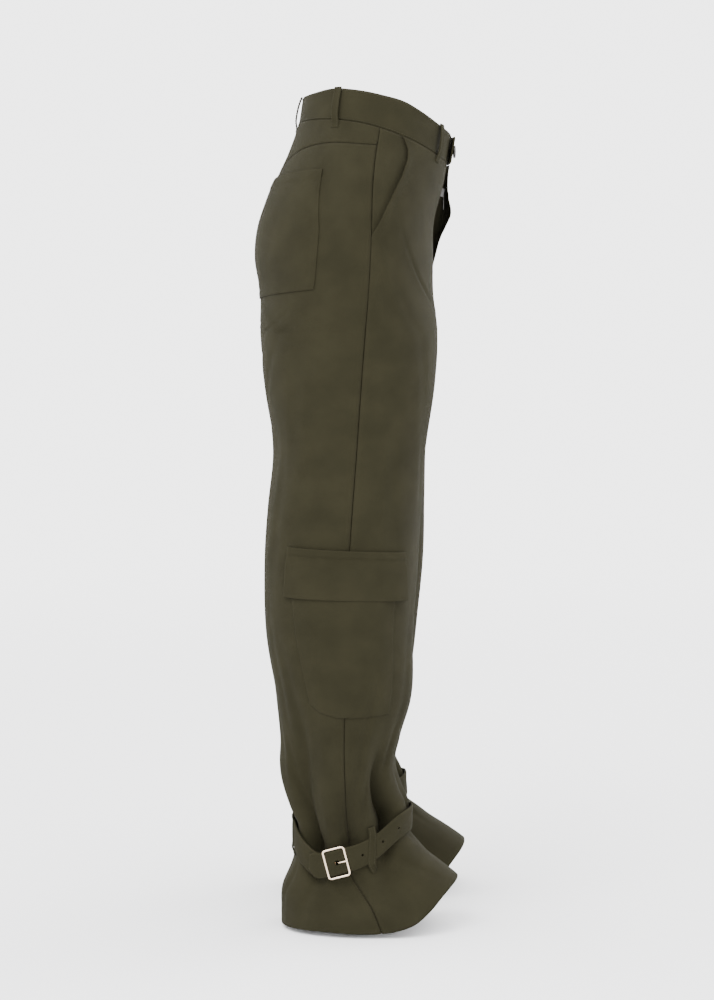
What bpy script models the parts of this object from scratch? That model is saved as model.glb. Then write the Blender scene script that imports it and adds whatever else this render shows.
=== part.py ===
"""Wide-leg cargo trousers, worn upright with nobody in them, as faceted cloth walls.

Each leg is one sheet of cloth in two coordinates: `around`, from 0 at the front rise seam or
inseam, over 0.5 at the side seam, to 1 at the back rise seam or inseam, and `level`, a nominal
height above the floor. A short table of sections gives the leg its size at each level, and a
table of folds its pleats. Every panel, yoke, pocket and flap is cut from those sheets.

+X is the wearer's left, -Y is the front and +Z is up. The origin is the middle of the waist.
"""

import math

import bmesh
import bpy
import numpy as np
from mathutils import Matrix, Vector, geometry

# Heights above the floor, in metres.
ORIGIN_HEIGHT = 1.020
WAIST_SEAM = 1.020
RISE_TOP = 0.900  # where the front and back seams turn under towards the crotch
CROTCH = 0.765
FULL_TUBE = 0.620  # where a leg is as round inside as outside
STRAP_LEVEL = 0.105

# Cloth, in metres.
TWILL = 0.0012
DOUBLE = 0.0022
BAND = 0.0026
BAND_FACE = 0.0006  # how far the band's face stands out from the panels'
SEAM_GAP = 0.0003

# The cut of the sections: 2 is an ellipse, and more is squarer.
SQUARENESS = 2.35

# How far the left leg stands ahead of the right one.
# Columns: level, distance.
STRIDE = (
    (0.000, 0.0180),
    (0.043, 0.0090),
    (0.086, -0.0010),
    (0.120, -0.0040),
    (0.180, -0.0040),
    (0.240, 0.0030),
    (0.300, 0.0030),
    (0.380, 0.0112),
    (0.460, 0.0125),
    (0.540, 0.0090),
    (0.613, 0.0062),
    (0.700, 0.0018),
    (0.765, 0.0),
)

# Outline of the right leg. back, seam and front are places along Y of the centre back or calf,
# the side seam, and the fly or shin. outer and inner are distances from the centre plane.
SECTION_COLUMNS = ("level", "back", "seam", "front", "outer", "inner")
SECTIONS = (
    (1.035, 0.0925, -0.0085, -0.0985, 0.1250, 0.0),
    (1.020, 0.0955, -0.0080, -0.0955, 0.1290, 0.0),
    (0.985, 0.1090, -0.0030, -0.0910, 0.1430, 0.0),
    (0.940, 0.1345, 0.0010, -0.0845, 0.1600, 0.0),
    (0.900, 0.1492, 0.0020, -0.0780, 0.1710, 0.0),
    (0.860, 0.1530, 0.0035, -0.0775, 0.1770, 0.0),
    (0.815, 0.1455, 0.0060, -0.0775, 0.1810, 0.0),
    (0.765, 0.1445, 0.0100, -0.0825, 0.1850, 0.0006),
    (0.700, 0.1385, 0.0150, -0.0785, 0.1900, 0.0030),
    (0.613, 0.1285, 0.0210, -0.0655, 0.1950, 0.0080),
    (0.540, 0.1345, 0.0265, -0.0620, 0.1985, 0.0120),
    (0.460, 0.1377, 0.0315, -0.0580, 0.2010, 0.0160),
    (0.380, 0.1354, 0.0345, -0.0515, 0.2020, 0.0200),
    (0.300, 0.1230, 0.0355, -0.0485, 0.2000, 0.0240),
    (0.240, 0.1177, 0.0365, -0.0335, 0.1950, 0.0280),
    (0.190, 0.1195, 0.0350, -0.0290, 0.1880, 0.0340),
    (0.150, 0.1090, 0.0330, -0.0375, 0.1780, 0.0440),
    (0.124, 0.0985, 0.0300, -0.0465, 0.1680, 0.0600),
    (0.105, 0.0985, 0.0300, -0.0465, 0.1680, 0.0600),
    (0.086, 0.0985, 0.0300, -0.0465, 0.1680, 0.0600),
    (0.062, 0.1050, 0.0180, -0.0580, 0.1740, 0.0550),
    (0.040, 0.1160, 0.0050, -0.0700, 0.1810, 0.0450),
    (0.020, 0.1170, -0.0040, -0.0880, 0.1860, 0.0370),
    (0.000, 0.1170, -0.0110, -0.1090, 0.1890, 0.0300),
)

# Height of the middle of the ankle strap, round the leg.
# Columns: around, height.
STRAP_HEIGHTS = (
    (0.00, 0.122),
    (0.14, 0.135),
    (0.27, 0.142),
    (0.37, 0.134),
    (0.46, 0.1070),
    (0.50, 0.0975),
    (0.54, 0.0920),
    (0.58, 0.0880),
    (0.64, 0.1000),
    (0.73, 0.1240),
    (0.86, 0.130),
    (1.00, 0.122),
)

# Height of the hem round the leg. Its front rides up over the foot.
# Columns: around, height.
HEM_HEIGHTS = (
    (0.00, 0.002),
    (0.03, 0.002),
    (0.07, 0.010),
    (0.10, 0.023),
    (0.14, 0.042),
    (0.19, 0.056),
    (0.25, 0.063),
    (0.31, 0.060),
    (0.36, 0.049),
    (0.40, 0.032),
    (0.44, 0.016),
    (0.48, 0.008),
    (0.60, 0.006),
    (1.00, 0.002),
)

# Pleats that the strap gathers, and the long drapes above them. A depth under 0 is a ridge.
# A fold is deepest at the level `full`, and fades out at `top` above it and at `foot` below.
# Columns: around, width, depth, top, full, foot.
FOLDS = (
    (0.400, 0.026, 0.0300, 0.275, 0.118, 0.052),
    (0.500, 0.020, 0.0130, 0.230, 0.125, 0.088),
    (0.605, 0.040, 0.0270, 0.330, 0.130, 0.060),
    (0.505, 0.024, 0.0080, 0.100, 0.068, 0.020),
    (0.425, 0.030, 0.0100, 0.096, 0.062, 0.022),
    (0.740, 0.030, 0.0060, 0.240, 0.112, 0.050),
    (0.835, 0.030, 0.0200, 0.300, 0.112, 0.050),
    (0.940, 0.030, 0.0180, 0.280, 0.112, 0.045),
    (0.050, 0.030, 0.0160, 0.260, 0.112, 0.045),
    (0.165, 0.032, 0.0200, 0.300, 0.112, 0.045),
    (0.270, 0.024, 0.0120, 0.240, 0.112, 0.050),
    (0.700, 0.050, 0.0050, 0.720, 0.610, 0.480),
    (0.300, 0.060, 0.0040, 0.640, 0.480, 0.300),
    (0.120, 0.060, 0.0060, 0.700, 0.450, 0.250),
    (0.880, 0.060, 0.0060, 0.680, 0.430, 0.230),
)

# The left front stands away from the right one over the fly. The lift is outwards, and the lap
# is how far its edge passes the centre front.
# Columns: level, lift, lap.
FLY = (
    (1.040, 0.0042, 0.0100),
    (1.020, 0.0042, 0.0100),
    (0.985, 0.0065, 0.0100),
    (0.950, 0.0130, 0.0100),
    (0.915, 0.0210, 0.0100),
    (0.880, 0.0090, 0.0),
    (0.845, 0.0, 0.0),
    (0.700, 0.0, 0.0),
)
FLY_REACH = 0.055  # how far round from the centre front the lift is felt

# Top edge of the waistband, as heights at places along Y.
# Columns: y, height.
BAND_TOP = (
    (-0.1040, 1.0150),
    (-0.0850, 1.0260),
    (-0.0580, 1.0434),
    (-0.0400, 1.0536),
    (-0.0125, 1.0620),
    (0.0100, 1.0670),
    (0.0324, 1.0703),
    (0.0482, 1.0718),
    (0.0616, 1.0708),
    (0.0740, 1.0685),
    (0.0870, 1.0665),
)
BAND_TAB = 0.024  # how far the left end passes the centre front

# Seams and edges on the outer side of a leg, as places along Y and heights.
YOKE_SEAM = ((0.0, 0.999), (0.35, 1.002), (0.7, 0.990), (1.0, 0.964))  # share of the back
POCKET_MOUTH = (
    (-0.0383, 1.030),
    (-0.0425, 0.993),
    (-0.0415, 0.980),
    (-0.0334, 0.957),
    (-0.0209, 0.930),
    (-0.0084, 0.903),
    (0.0017, 0.886),
)
BACK_POCKET = (
    (0.0625, 0.968),
    (0.0672, 0.893),
    (0.0740, 0.818),
)
BACK_POCKET_FAR = ((-0.038, 0.806), (-0.032, 0.957))  # x and height of its far corners
CARGO_POCKET = (
    (-0.0270, 0.452),
    (-0.0235, 0.360),
    (-0.0184, 0.287),
    (0.0356, 0.283),
    (0.0544, 0.285),
    (0.0795, 0.301),
    (0.0950, 0.380),
    (0.1030, 0.452),
)
CARGO_FLAP = ((-0.0382, 0.490), (-0.0395, 0.429), (0.1093, 0.434), (0.1054, 0.497))

# Ankle strap. It starts under the middle of the buckle and goes once round the leg, and its loose
# end passes under both bars of the buckle and over its own start. Places past 1 are on the
# second lap.
STRAP_HALF_WIDTH = 0.0165
STRAP_START = 0.545
STRAP_TIP = 1.612
STRAP_FLAT = 0.42  # turns `around` into metres along the strap
STRAP_CLEARANCE = 0.0004
STRAP_CHAMFER = 0.008
# Columns: around, lift.
STRAP_END = (
    (1.450, 0.0),
    (1.515, 0.0),
    (1.540, 0.0030),
    (1.640, 0.0030),
)
BUCKLE_AROUND = 0.531
BUCKLE_REACH = 0.026  # from the middle of the buckle to each bar, as a share of the leg
BUCKLE_HALF_HEIGHT = 0.0185
BUCKLE_CORNER = 0.0035
BUCKLE_WIRE = 0.0013
BUCKLE_STANDS = (0.0050, 0.0074)  # of the front and back bars over the leg
PRONG_WIRE = 0.0009
EYELETS = (0.527, 0.474, 0.420, 0.366)
ROUND_HOLE = ((0.0015, 0.0015), (0.0033, 0.0033))  # half sizes of the hole and of its washer
PRONG_HOLE = ((0.0031, 0.0031), (0.0048, 0.0048))  # the one that the prong comes up through
EYELET_THICKNESS = 0.0006
HOLE_SIDES = 10
CARRIERS = (0.450, 0.735)
CARRIER_WIDTH = 0.010
CARRIER_REACH = 0.030  # above and below the middle of the strap
CARRIER_ROOM = 0.0012

# Fly. Its places round the waist are under 0 on the wearer's right of the centre front.
FLY_ROWS = (1.016, 0.985, 0.950, 0.915, 0.880, 0.868)
FLY_SHIELD = (-0.021, -0.004, 0.004, 0.021, 0.036)
ZIP_PLACES = (-0.0120, -0.0008, 0.0004, 0.0012, 0.0066, 0.0072, 0.0150)
ZIP_CHAIN = (0.0010, 0.0068)
ZIP_TAPE = 0.0008
CHAIN_HEIGHT = 0.0013
SLIDER_PLACE = (0.0039, 0.966)
SLIDER_LENGTH = 0.011
SLIDER_PROFILE = (
    (-0.0040, 0.0), (0.0040, 0.0), (0.0040, 0.0018), (0.0034, 0.0050), (0.0021, 0.0050),
    (0.0021, 0.0020), (-0.0021, 0.0020), (-0.0021, 0.0050), (-0.0034, 0.0050), (-0.0040, 0.0018),
)  # fmt: skip
SLIDER_STAND = 0.0005  # over the chain
PULL_STAND = 0.0037  # of its barrel over the slider's base
# Half of the pull's outline. It widens only below the slider's sides, which it hangs between.
PULL_HALF = ((-0.0016, 0.0), (-0.0016, -0.0085), (-0.0028, -0.0115), (-0.0028, -0.021), (-0.0016, -0.024))
PULL_THICKNESS = 0.001
BUTTON_RADIUS = 0.0082
BUTTON_THICKNESS = 0.0030

# Belt loops, each on the left or not, and at a place round its side.
# Columns: name, left, around.
BELT_LOOPS = (
    ("belt_loop_front_right", False, 0.20),
    ("belt_loop_front_left", True, 0.20),
    ("belt_loop_back_right", False, 0.655),
    ("belt_loop_back_left", True, 0.655),
    ("belt_loop_centre_back", False, 1.00),
)
LOOP_WIDTH = 0.0105
LOOP_THICKNESS = 0.0018
LOOP_STAND = 0.0036  # how far its middle stands out
LOOP_TUCK = 0.010  # how far below the waist seam it is caught

# Grid of the cloth sheets. The columns sit on the middles and the shoulders of the pleats.
COLUMNS = (
    0.0, 0.022, 0.050, 0.085, 0.125, 0.165, 0.200, 0.235, 0.270, 0.305, 0.335, 0.365, 0.395,
    0.420, 0.445, 0.470, 0.500, 0.525, 0.550, 0.575, 0.600, 0.630, 0.665, 0.700, 0.740,
    0.770, 0.800, 0.835, 0.870, 0.905, 0.940, 0.970, 1.0,
)  # fmt: skip
ROWS = (
    1.040, 1.020, 0.985, 0.950, 0.915, 0.880, 0.845, 0.812, 0.787, 0.772, 0.765,
    0.725, 0.670, 0.613, 0.555, 0.495, 0.430, 0.365, 0.305, 0.260, 0.222,
    0.187, 0.155, 0.122, 0.105, 0.088, 0.064, 0.036, 0.000,
)  # fmt: skip
FLAT_PERIMETER = 0.6  # turns `around` into metres for cutting
EDGE = 0.00025  # half a seam's gap, as a share of the perimeter

OLIVE = (0.052, 0.046, 0.026)
CHAMPAGNE = (0.62, 0.53, 0.40)
GUNMETAL = (0.05, 0.05, 0.055)


def start_scene():
    """Clears the scene and returns the collection that the garment goes in."""
    for old in list(bpy.data.objects):
        bpy.data.objects.remove(old)
    collection = bpy.data.collections.new("cargo_trousers")
    bpy.context.scene.collection.children.link(collection)
    return collection


def material(name, colour, roughness, metallic=0.0):
    made = bpy.data.materials.new(name)
    made.use_nodes = True
    shader = made.node_tree.nodes["Principled BSDF"]
    shader.inputs["Base Color"].default_value = (*colour, 1.0)
    shader.inputs["Roughness"].default_value = roughness
    shader.inputs["Metallic"].default_value = metallic
    return made


def smoothstep(share):
    share = np.clip(share, 0.0, 1.0)
    return share * share * (3.0 - 2.0 * share)


def through(table, column, at):
    """Smooth curve through one column of a table, read at each value of the table's first column."""
    rows = np.array(sorted(table))
    x, y = rows[:, 0], rows[:, column]
    slope = np.gradient(y, x)
    at = np.clip(np.asarray(at, float), x[0], x[-1])
    k = np.clip(np.searchsorted(x, at, side="right") - 1, 0, len(x) - 2)
    step = x[k + 1] - x[k]
    t = (at - x[k]) / step
    return (
        (1 + 2 * t) * (1 - t) ** 2 * y[k]
        + t * (1 - t) ** 2 * step * slope[k]
        + t * t * (3 - 2 * t) * y[k + 1]
        - t * t * (1 - t) * step * slope[k + 1]
    )


def section(name, level):
    return through(SECTIONS, SECTION_COLUMNS.index(name), level)


def waist_seam_height(y):
    """The waist seam dips to the front and is nearly level over the back."""
    return 1.0225 + 0.271 * y - 1.83 * y * y


def envelope(around, level):
    """Point on the unfolded right leg, before heights are adjusted, as arrays x and y."""
    closing = np.clip((RISE_TOP - level) / (RISE_TOP - CROTCH), 0.0, 1.0)
    closed = 1.0 - (1.0 - closing**2) ** 0.6
    rounded = smoothstep((RISE_TOP - level) / (RISE_TOP - FULL_TUBE))
    first = 0.5 * math.pi * (1.0 - closed)
    half_way = np.where(around <= 0.5, around, 1.0 - around) * 2.0
    angle = first + (math.pi - first) * half_way
    power = 2.0 / SQUARENESS
    back, seam, front = (section(n, level) for n in ("back", "seam", "front"))
    outer, inner = section("outer", level), section("inner", level)
    centre = rounded * (outer + inner) / 2
    reach_in = (centre - inner * closed) / np.maximum(np.cos(first), 1e-6) ** power
    cosine, sine = np.cos(angle), np.abs(np.sin(angle))
    inwards = np.maximum(cosine, 0.0) ** power * reach_in
    outwards = np.maximum(-cosine, 0.0) ** power * (outer - centre)
    depth = np.where(around <= 0.5, front - seam, back - seam)
    return -(centre - inwards + outwards), seam + depth * sine**power


def fold_depth(around, level, folds=FOLDS):
    depth = np.zeros(np.broadcast(around, level).shape)
    for place, width, most, top, full, foot in folds:
        off = (around - place + 0.5) % 1.0 - 0.5
        fade = np.where(
            level > full, (top - level) / (top - full), (level - foot) / (full - foot)
        )
        depth = depth + most * np.exp(-((off / width) ** 2)) * smoothstep(fade)
    return depth


def heights(around, level, y):
    """Real heights: the nominal level, moved with the waist seam, the strap and the hem."""
    strap = through(STRAP_HEIGHTS, 1, around) - STRAP_LEVEL
    above = smoothstep((level - 0.900) / (WAIST_SEAM - 0.900))
    by_strap = np.where(
        level > STRAP_LEVEL,
        1.0 - smoothstep((level - STRAP_LEVEL) / 0.19),
        smoothstep(level / STRAP_LEVEL),
    )
    by_hem = 1.0 - smoothstep(level / STRAP_LEVEL)
    return (
        level
        + above * (waist_seam_height(y) - WAIST_SEAM)
        + by_strap * strap
        + by_hem * through(HEM_HEIGHTS, 1, around)
    )


def leg_points(around, level, left, folded=True):
    """Points of the cloth's outer face, as an array of (x, y, z)."""
    around, level = np.broadcast_arrays(
        np.asarray(around, float), np.asarray(level, float)
    )
    x, y = envelope(around, level)
    step = 1e-3
    before = envelope(np.clip(around - step, 0, 1), level)
    after = envelope(np.clip(around + step, 0, 1), level)
    along = np.stack([after[0] - before[0], after[1] - before[1]])
    along = along / np.maximum(np.hypot(*along), 1e-9)
    out = np.stack([-along[1], along[0]])  # the section runs clockwise seen from above
    push = -fold_depth(around, level) if folded else 0.0 * level
    if left:
        near = np.exp(-((around / FLY_REACH) ** 2))
        push = push + np.maximum(through(FLY, 1, level), 0.0) * near
    z = heights(around, level, y) - ORIGIN_HEIGHT
    x, y = x + out[0] * push, y + out[1] * push
    # The two legs meet on the centre plane.
    edge = np.minimum(around, 1.0 - around)
    x = np.where((level >= CROTCH) & (edge < 1e-9), 0.0, x)
    x = np.minimum(x, -SEAM_GAP / 2)
    if left:
        near = np.clip(1.0 - around / 0.05, 0.0, 1.0)
        x = x + np.maximum(through(FLY, 2, level), 0.0) * near
        y = y - through(STRIDE, 1, level)
        x = -x
    return np.stack([x, y, z], axis=-1)


class Sheet:
    """A grid of cloth points with outward normals, read as flat triangles between its points."""

    def __init__(self, points, columns, rows, flat_width, outward):
        self.columns, self.rows = np.array(columns), np.array(rows)
        self.flat_width = flat_width
        self.points = points
        down = np.gradient(points, axis=0)
        across = np.gradient(points, axis=1)
        normals = np.cross(across, down)
        normals /= np.linalg.norm(normals, axis=2, keepdims=True)
        # Where the first and last columns meet, they share their normals.
        meet = np.linalg.norm(points[:, 0] - points[:, -1], axis=1) < 0.002
        shared = normals[:, 0] + normals[:, -1]
        shared /= np.maximum(np.linalg.norm(shared, axis=1, keepdims=True), 1e-9)
        normals[meet, 0] = normals[meet, -1] = shared[meet]
        self.normals = normals * outward

    def read(self, around, level):
        """(point, normal) of the faceted sheet at one place."""
        i = int(np.clip(np.searchsorted(self.columns, around) - 1, 0, len(self.columns) - 2))
        j = int(np.clip(np.searchsorted(-self.rows, -level) - 1, 0, len(self.rows) - 2))
        a = (around - self.columns[i]) / (self.columns[i + 1] - self.columns[i])
        b = (level - self.rows[j]) / (self.rows[j + 1] - self.rows[j])
        found = []
        for grid in (self.points, self.normals):
            p00, p10 = grid[j, i], grid[j, i + 1]
            p01, p11 = grid[j + 1, i], grid[j + 1, i + 1]
            if a >= b:
                found.append(p00 + a * (p10 - p00) + b * (p11 - p10))
            else:
                found.append(p00 + b * (p01 - p00) + a * (p11 - p01))
        return found[0], found[1] / np.linalg.norm(found[1])

    def cut(self, outline, holes=()):
        """(places, triangles) of the sheet inside an outline and outside its holes.

        The triangles keep to the sheet's own facets, so a cut piece has exactly their shape.
        """
        flat = [
            Vector((c * self.flat_width, r)) for r in self.rows for c in self.columns
        ]
        wide = len(self.columns)
        edges = []
        for j in range(len(self.rows)):
            for i in range(wide):
                here = j * wide + i
                if i + 1 < wide:
                    edges.append((here, here + 1))
                if j + 1 < len(self.rows):
                    edges.append((here, here + wide))
                if i + 1 < wide and j + 1 < len(self.rows):
                    edges.append((here, here + wide + 1))
        loops = []
        for loop in (outline, *holes):
            corners = [Vector((c * self.flat_width, r)) for c, r in loop]
            first = len(flat)
            count = len(corners)
            edges += [(first + k, first + (k + 1) % count) for k in range(count)]
            flat += corners
            loops.append(corners)
        verts, _, faces, *_ = geometry.delaunay_2d_cdt(flat, edges, [], 0, 2e-5, False)
        kept = []
        for face in faces:
            middle = sum((verts[v] for v in face), Vector((0, 0))) / len(face)
            if inside(middle, loops[0]) and not any(inside(middle, h) for h in loops[1:]):
                kept.append(face)
        used = sorted({v for f in kept for v in f})
        number = {v: k for k, v in enumerate(used)}
        places = [(verts[v].x / self.flat_width, verts[v].y) for v in used]
        return places, [tuple(number[v] for v in f) for f in kept]


def inside(point, polygon):
    found = False
    for k, here in enumerate(polygon):
        last = polygon[k - 1]
        if (here.y > point.y) != (last.y > point.y):
            if point.x < (last.x - here.x) * (point.y - here.y) / (last.y - here.y) + here.x:
                found = not found
    return found


def add_object(name, mesh_points, faces, finish, collection):
    """A closed mesh as an object, with its faces turned outwards."""
    mesh = bpy.data.meshes.new(name)
    made = bmesh.new()
    corners = [made.verts.new(p) for p in mesh_points]
    for face in faces:
        made.faces.new([corners[k] for k in face])
    bmesh.ops.recalc_face_normals(made, faces=made.faces)
    made.to_mesh(mesh)
    made.free()
    mesh.materials.append(finish)
    obj = bpy.data.objects.new(name, mesh)
    collection.objects.link(obj)
    return obj


def wall(name, points, normals, triangles, low, high, finish, collection):
    """A cloth wall: a patch of triangles thickened from `low` to `high` along its normals."""
    low = np.broadcast_to(np.asarray(low, float), len(points))[:, None]
    high = np.broadcast_to(np.asarray(high, float), len(points))[:, None]
    count = len(points)
    both = np.vstack([points + normals * high, points + normals * low])
    faces = [tuple(t) for t in triangles]
    faces += [tuple(count + k for k in reversed(t)) for t in triangles]
    uses = {}
    for t in triangles:
        for k in range(3):
            a, b = t[k], t[(k + 1) % 3]
            if (b, a) in uses:
                uses.pop((b, a))
            else:
                uses[(a, b)] = True
    faces += [(b, a, a + count, b + count) for a, b in uses]
    return add_object(name, both.tolist(), faces, finish, collection)


def piece(name, sheet, outline, low, high, finish, collection, holes=()):
    """A piece cut from a sheet, with low and high as offsets or as functions of the place."""
    places, triangles = sheet.cut(outline, holes)
    read = [sheet.read(*place) for place in places]
    points = np.array([r[0] for r in read])
    normals = np.array([r[1] for r in read])
    low, high = (
        np.array([side(*place) for place in places]) if callable(side) else side
        for side in (low, high)
    )
    return wall(name, points, normals, triangles, low, high, finish, collection)


def level_at(around, height):
    """The nominal level whose real height is the one asked for, on the right leg."""
    low, high = 0.0, 1.06
    for _ in range(40):
        middle = (low + high) / 2
        y = envelope(np.array(around), np.array(middle))[1]
        if heights(np.array(around), np.array(middle), y) < height:
            low = middle
        else:
            high = middle
    return (low + high) / 2


def place(y, height):
    """(around, level) of the point of the outer side at a place along Y and a height."""
    around = 0.5
    for _ in range(4):
        level = level_at(around, height)
        low, high = (0.25, 0.75) if level < CROTCH else (0.0, 1.0)
        for _ in range(40):
            around = (low + high) / 2
            if envelope(np.array(around), np.array(level))[1] < y:
                low = around
            else:
                high = around
    return around, level


def places(table):
    return [place(y, height) for y, height in table]


def place_behind(x, height):
    """(around, level) of the point of the seat at a distance from the centre plane."""
    around = 0.9
    for _ in range(4):
        level = level_at(around, height)
        low, high = 0.70, 1.0
        for _ in range(40):
            around = (low + high) / 2
            if envelope(np.array(around), np.array(level))[0] < x:
                low = around
            else:
                high = around
    return around, level


def distance_to(line, around, level):
    """Distance in the flat from a place to a line of places, in metres."""
    here = np.array([around * FLAT_PERIMETER, level])
    best = 1.0
    for a, b in zip(line, line[1:]):
        a = np.array([a[0] * FLAT_PERIMETER, a[1]])
        b = np.array([b[0] * FLAT_PERIMETER, b[1]])
        t = np.clip(np.dot(here - a, b - a) / np.dot(b - a, b - a), 0.0, 1.0)
        best = min(best, float(np.linalg.norm(here - a - t * (b - a))))
    return best


def wire(name, path, radius, closed, finish, collection):
    """A round bar along a path of points: a ring if it is closed, and capped if it is not."""
    curve = bpy.data.curves.new(name, "CURVE")
    curve.dimensions = "3D"
    curve.bevel_depth = radius
    curve.bevel_resolution = 2
    curve.use_fill_caps = not closed
    spline = curve.splines.new("POLY")
    spline.points.add(len(path) - 1)
    for point, place_at in zip(spline.points, path):
        point.co = (*place_at, 1.0)
    spline.use_cyclic_u = closed
    curve.materials.append(finish)
    bar = bpy.data.objects.new(name, curve)
    collection.objects.link(bar)
    return bar


def flat_part(name, outlines, thickness, matrix, finish, collection):
    """A flat shape cut from sheet metal, centred on the plane of its matrix's X and Y."""
    curve = bpy.data.curves.new(name, "CURVE")
    curve.dimensions = "2D"
    curve.fill_mode = "BOTH"
    curve.extrude = thickness / 2
    for outline in outlines:
        spline = curve.splines.new("POLY")
        spline.points.add(len(outline) - 1)
        for point, (x, y) in zip(spline.points, outline):
            point.co = (x, y, 0.0, 1.0)
        spline.use_cyclic_u = True
    curve.materials.append(finish)
    part = bpy.data.objects.new(name, curve)
    part.matrix_world = matrix
    collection.objects.link(part)
    return part


def strip(name, path, outwards, width, thickness, finish, collection):
    """A flat strip along a path. `outwards` is its outward direction at each point."""
    path = [Vector(p) for p in path]
    count = len(path)
    rings, faces = [], []
    for k in range(count):
        along = (path[min(k + 1, count - 1)] - path[max(k - 1, 0)]).normalized()
        side = along.cross(Vector(outwards[k])).normalized()
        out = side.cross(along).normalized()
        for a, b in ((-1, -1), (1, -1), (1, 1), (-1, 1)):
            rings.append(path[k] + side * (a * width / 2) + out * (b * thickness / 2))
    for k in range(count - 1):
        for j in range(4):
            a, b = k * 4 + j, k * 4 + (j + 1) % 4
            faces.append((a, b, b + 4, a + 4))
    faces.append((0, 1, 2, 3))
    faces.append(tuple((count - 1) * 4 + j for j in range(4)))
    return add_object(name, [tuple(p) for p in rings], faces, finish, collection)


def washer(name, read, inner, outer, high, finish, collection):
    """A flat ring that follows a surface. inner and outer are half sizes across and along."""
    sides = 14
    points, normals, triangles = [], [], []
    for k in range(sides):
        turn = 2 * math.pi * k / sides
        for size in (inner, outer):
            point, normal = read(size[0] * math.cos(turn), size[1] * math.sin(turn))
            points.append(point)
            normals.append(normal)
    for k in range(sides):
        a, b = 2 * k, 2 * ((k + 1) % sides)
        triangles += [(a, a + 1, b + 1), (a, b + 1, b)]
    points, normals = np.array(points), np.array(normals)
    return wall(name, points, normals, triangles, 0.0, high, finish, collection)


def leg_sheet(left, folded=True):
    """The cloth of a whole leg. With folded=False it is the smooth form that a strap follows."""
    around, level = np.meshgrid(np.array(COLUMNS), np.array(ROWS))
    points = leg_points(around, level, left, folded)
    return Sheet(points, COLUMNS, ROWS, FLAT_PERIMETER, -1.0 if left else 1.0)


def mixed(a, b, share):
    return a + (b - a) * share


def build_leg(side, left, olive, collection):
    """The panels, yoke, pockets and flap of one leg, and the sheets that they are cut from."""
    sheet = leg_sheet(left)
    mouth = places(POCKET_MOUTH)
    mouth[0] = (mouth[0][0], WAIST_SEAM)
    mouth[-1] = (0.5 - EDGE, mouth[-1][1])

    def mouth_lift(around, level):
        along = np.clip((level - mouth[-1][1]) / (WAIST_SEAM - mouth[-1][1]), 0.0, 1.0)
        near = math.exp(-((distance_to(mouth, around, level) / 0.016) ** 2))
        return 0.0032 * math.sin(math.pi * along) ** 0.8 * near

    def front_low(around, level):
        return mouth_lift(around, level) - TWILL

    front = [(EDGE, 0.0), (0.5 - EDGE, 0.0), *reversed(mouth), (EDGE, WAIST_SEAM)]
    piece(f"front_{side}", sheet, front, front_low, mouth_lift, olive, collection)

    # The pocket facing starts under the front panel and rises to lie flush with the back.
    under = [(a - 0.035, level) for a, level in mouth[1:-1]]
    facing = [
        (0.5 - EDGE, mouth[-1][1] - 0.008),
        (0.5 - EDGE, WAIST_SEAM),
        (mouth[0][0] - 0.03, WAIST_SEAM),
        *under,
        (0.5 - 0.030, mouth[-1][1] - 0.008),
    ]

    def facing_top(around, level):
        past = distance_to(mouth, around, level) if beyond_mouth(around, level) else 0.0
        return -(TWILL + 2 * SEAM_GAP) * (1.0 - float(smoothstep(past / 0.02)))

    def beyond_mouth(around, level):
        line = sorted((level, a) for a, level in mouth)
        return around > np.interp(level, [p[0] for p in line], [p[1] for p in line])

    piece(
        f"pocket_facing_{side}", sheet, facing,
        lambda a, v: facing_top(a, v) - TWILL, facing_top, olive, collection,
    )  # fmt: skip

    # The yoke seam runs from the side seam down to the centre back.
    yoke = []
    for share, height in YOKE_SEAM:
        around = mixed(0.5 + EDGE, 1.0 - EDGE, share)
        yoke.append((around, level_at(around, height)))
    top_of_back = [(a, level - EDGE * FLAT_PERIMETER) for a, level in yoke]
    foot_of_yoke = [(a, level + EDGE * FLAT_PERIMETER) for a, level in yoke]
    back = [(0.5 + EDGE, 0.0), (1 - EDGE, 0.0), *reversed(top_of_back)]
    piece(f"back_{side}", sheet, back, -TWILL, 0.0, olive, collection)
    piece(
        f"yoke_{side}", sheet,
        [*foot_of_yoke, (1 - EDGE, WAIST_SEAM), (0.5 + EDGE, WAIST_SEAM)],
        -TWILL, 0.0, olive, collection,
    )  # fmt: skip

    # The back pocket is a patch with a doubled hem along its mouth.
    near_edge = places(BACK_POCKET)
    far_edge = [place_behind(x, height) for x, height in BACK_POCKET_FAR]
    patch = [*near_edge, *far_edge]
    hem = [near_edge[0], far_edge[-1]]

    def patch_top(around, level):
        doubled = distance_to(hem, around, level) < 0.0105
        return SEAM_GAP + TWILL + (0.0009 if doubled else 0.0)

    piece(f"back_pocket_{side}", sheet, patch, SEAM_GAP, patch_top, olive, collection)

    # The cargo pocket's mouth is hidden by the flap, which bends out over it.
    cargo = places(CARGO_POCKET)
    piece(
        f"cargo_pocket_{side}", sheet, cargo,
        SEAM_GAP, SEAM_GAP + TWILL, olive, collection,
    )  # fmt: skip
    flap = places(CARGO_FLAP)
    fold = [flap[0], flap[-1]]

    def flap_low(around, level):
        down = distance_to(fold, around, level)
        return SEAM_GAP + 0.0030 * float(smoothstep((down - 0.006) / 0.016))

    def flap_top(around, level):
        down = distance_to(fold, around, level)
        return flap_low(around, level) + TWILL + (0.0009 if down < 0.009 else 0.0)

    piece(f"cargo_flap_{side}", sheet, flap, flap_low, flap_top, olive, collection)
    return sheet


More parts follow.
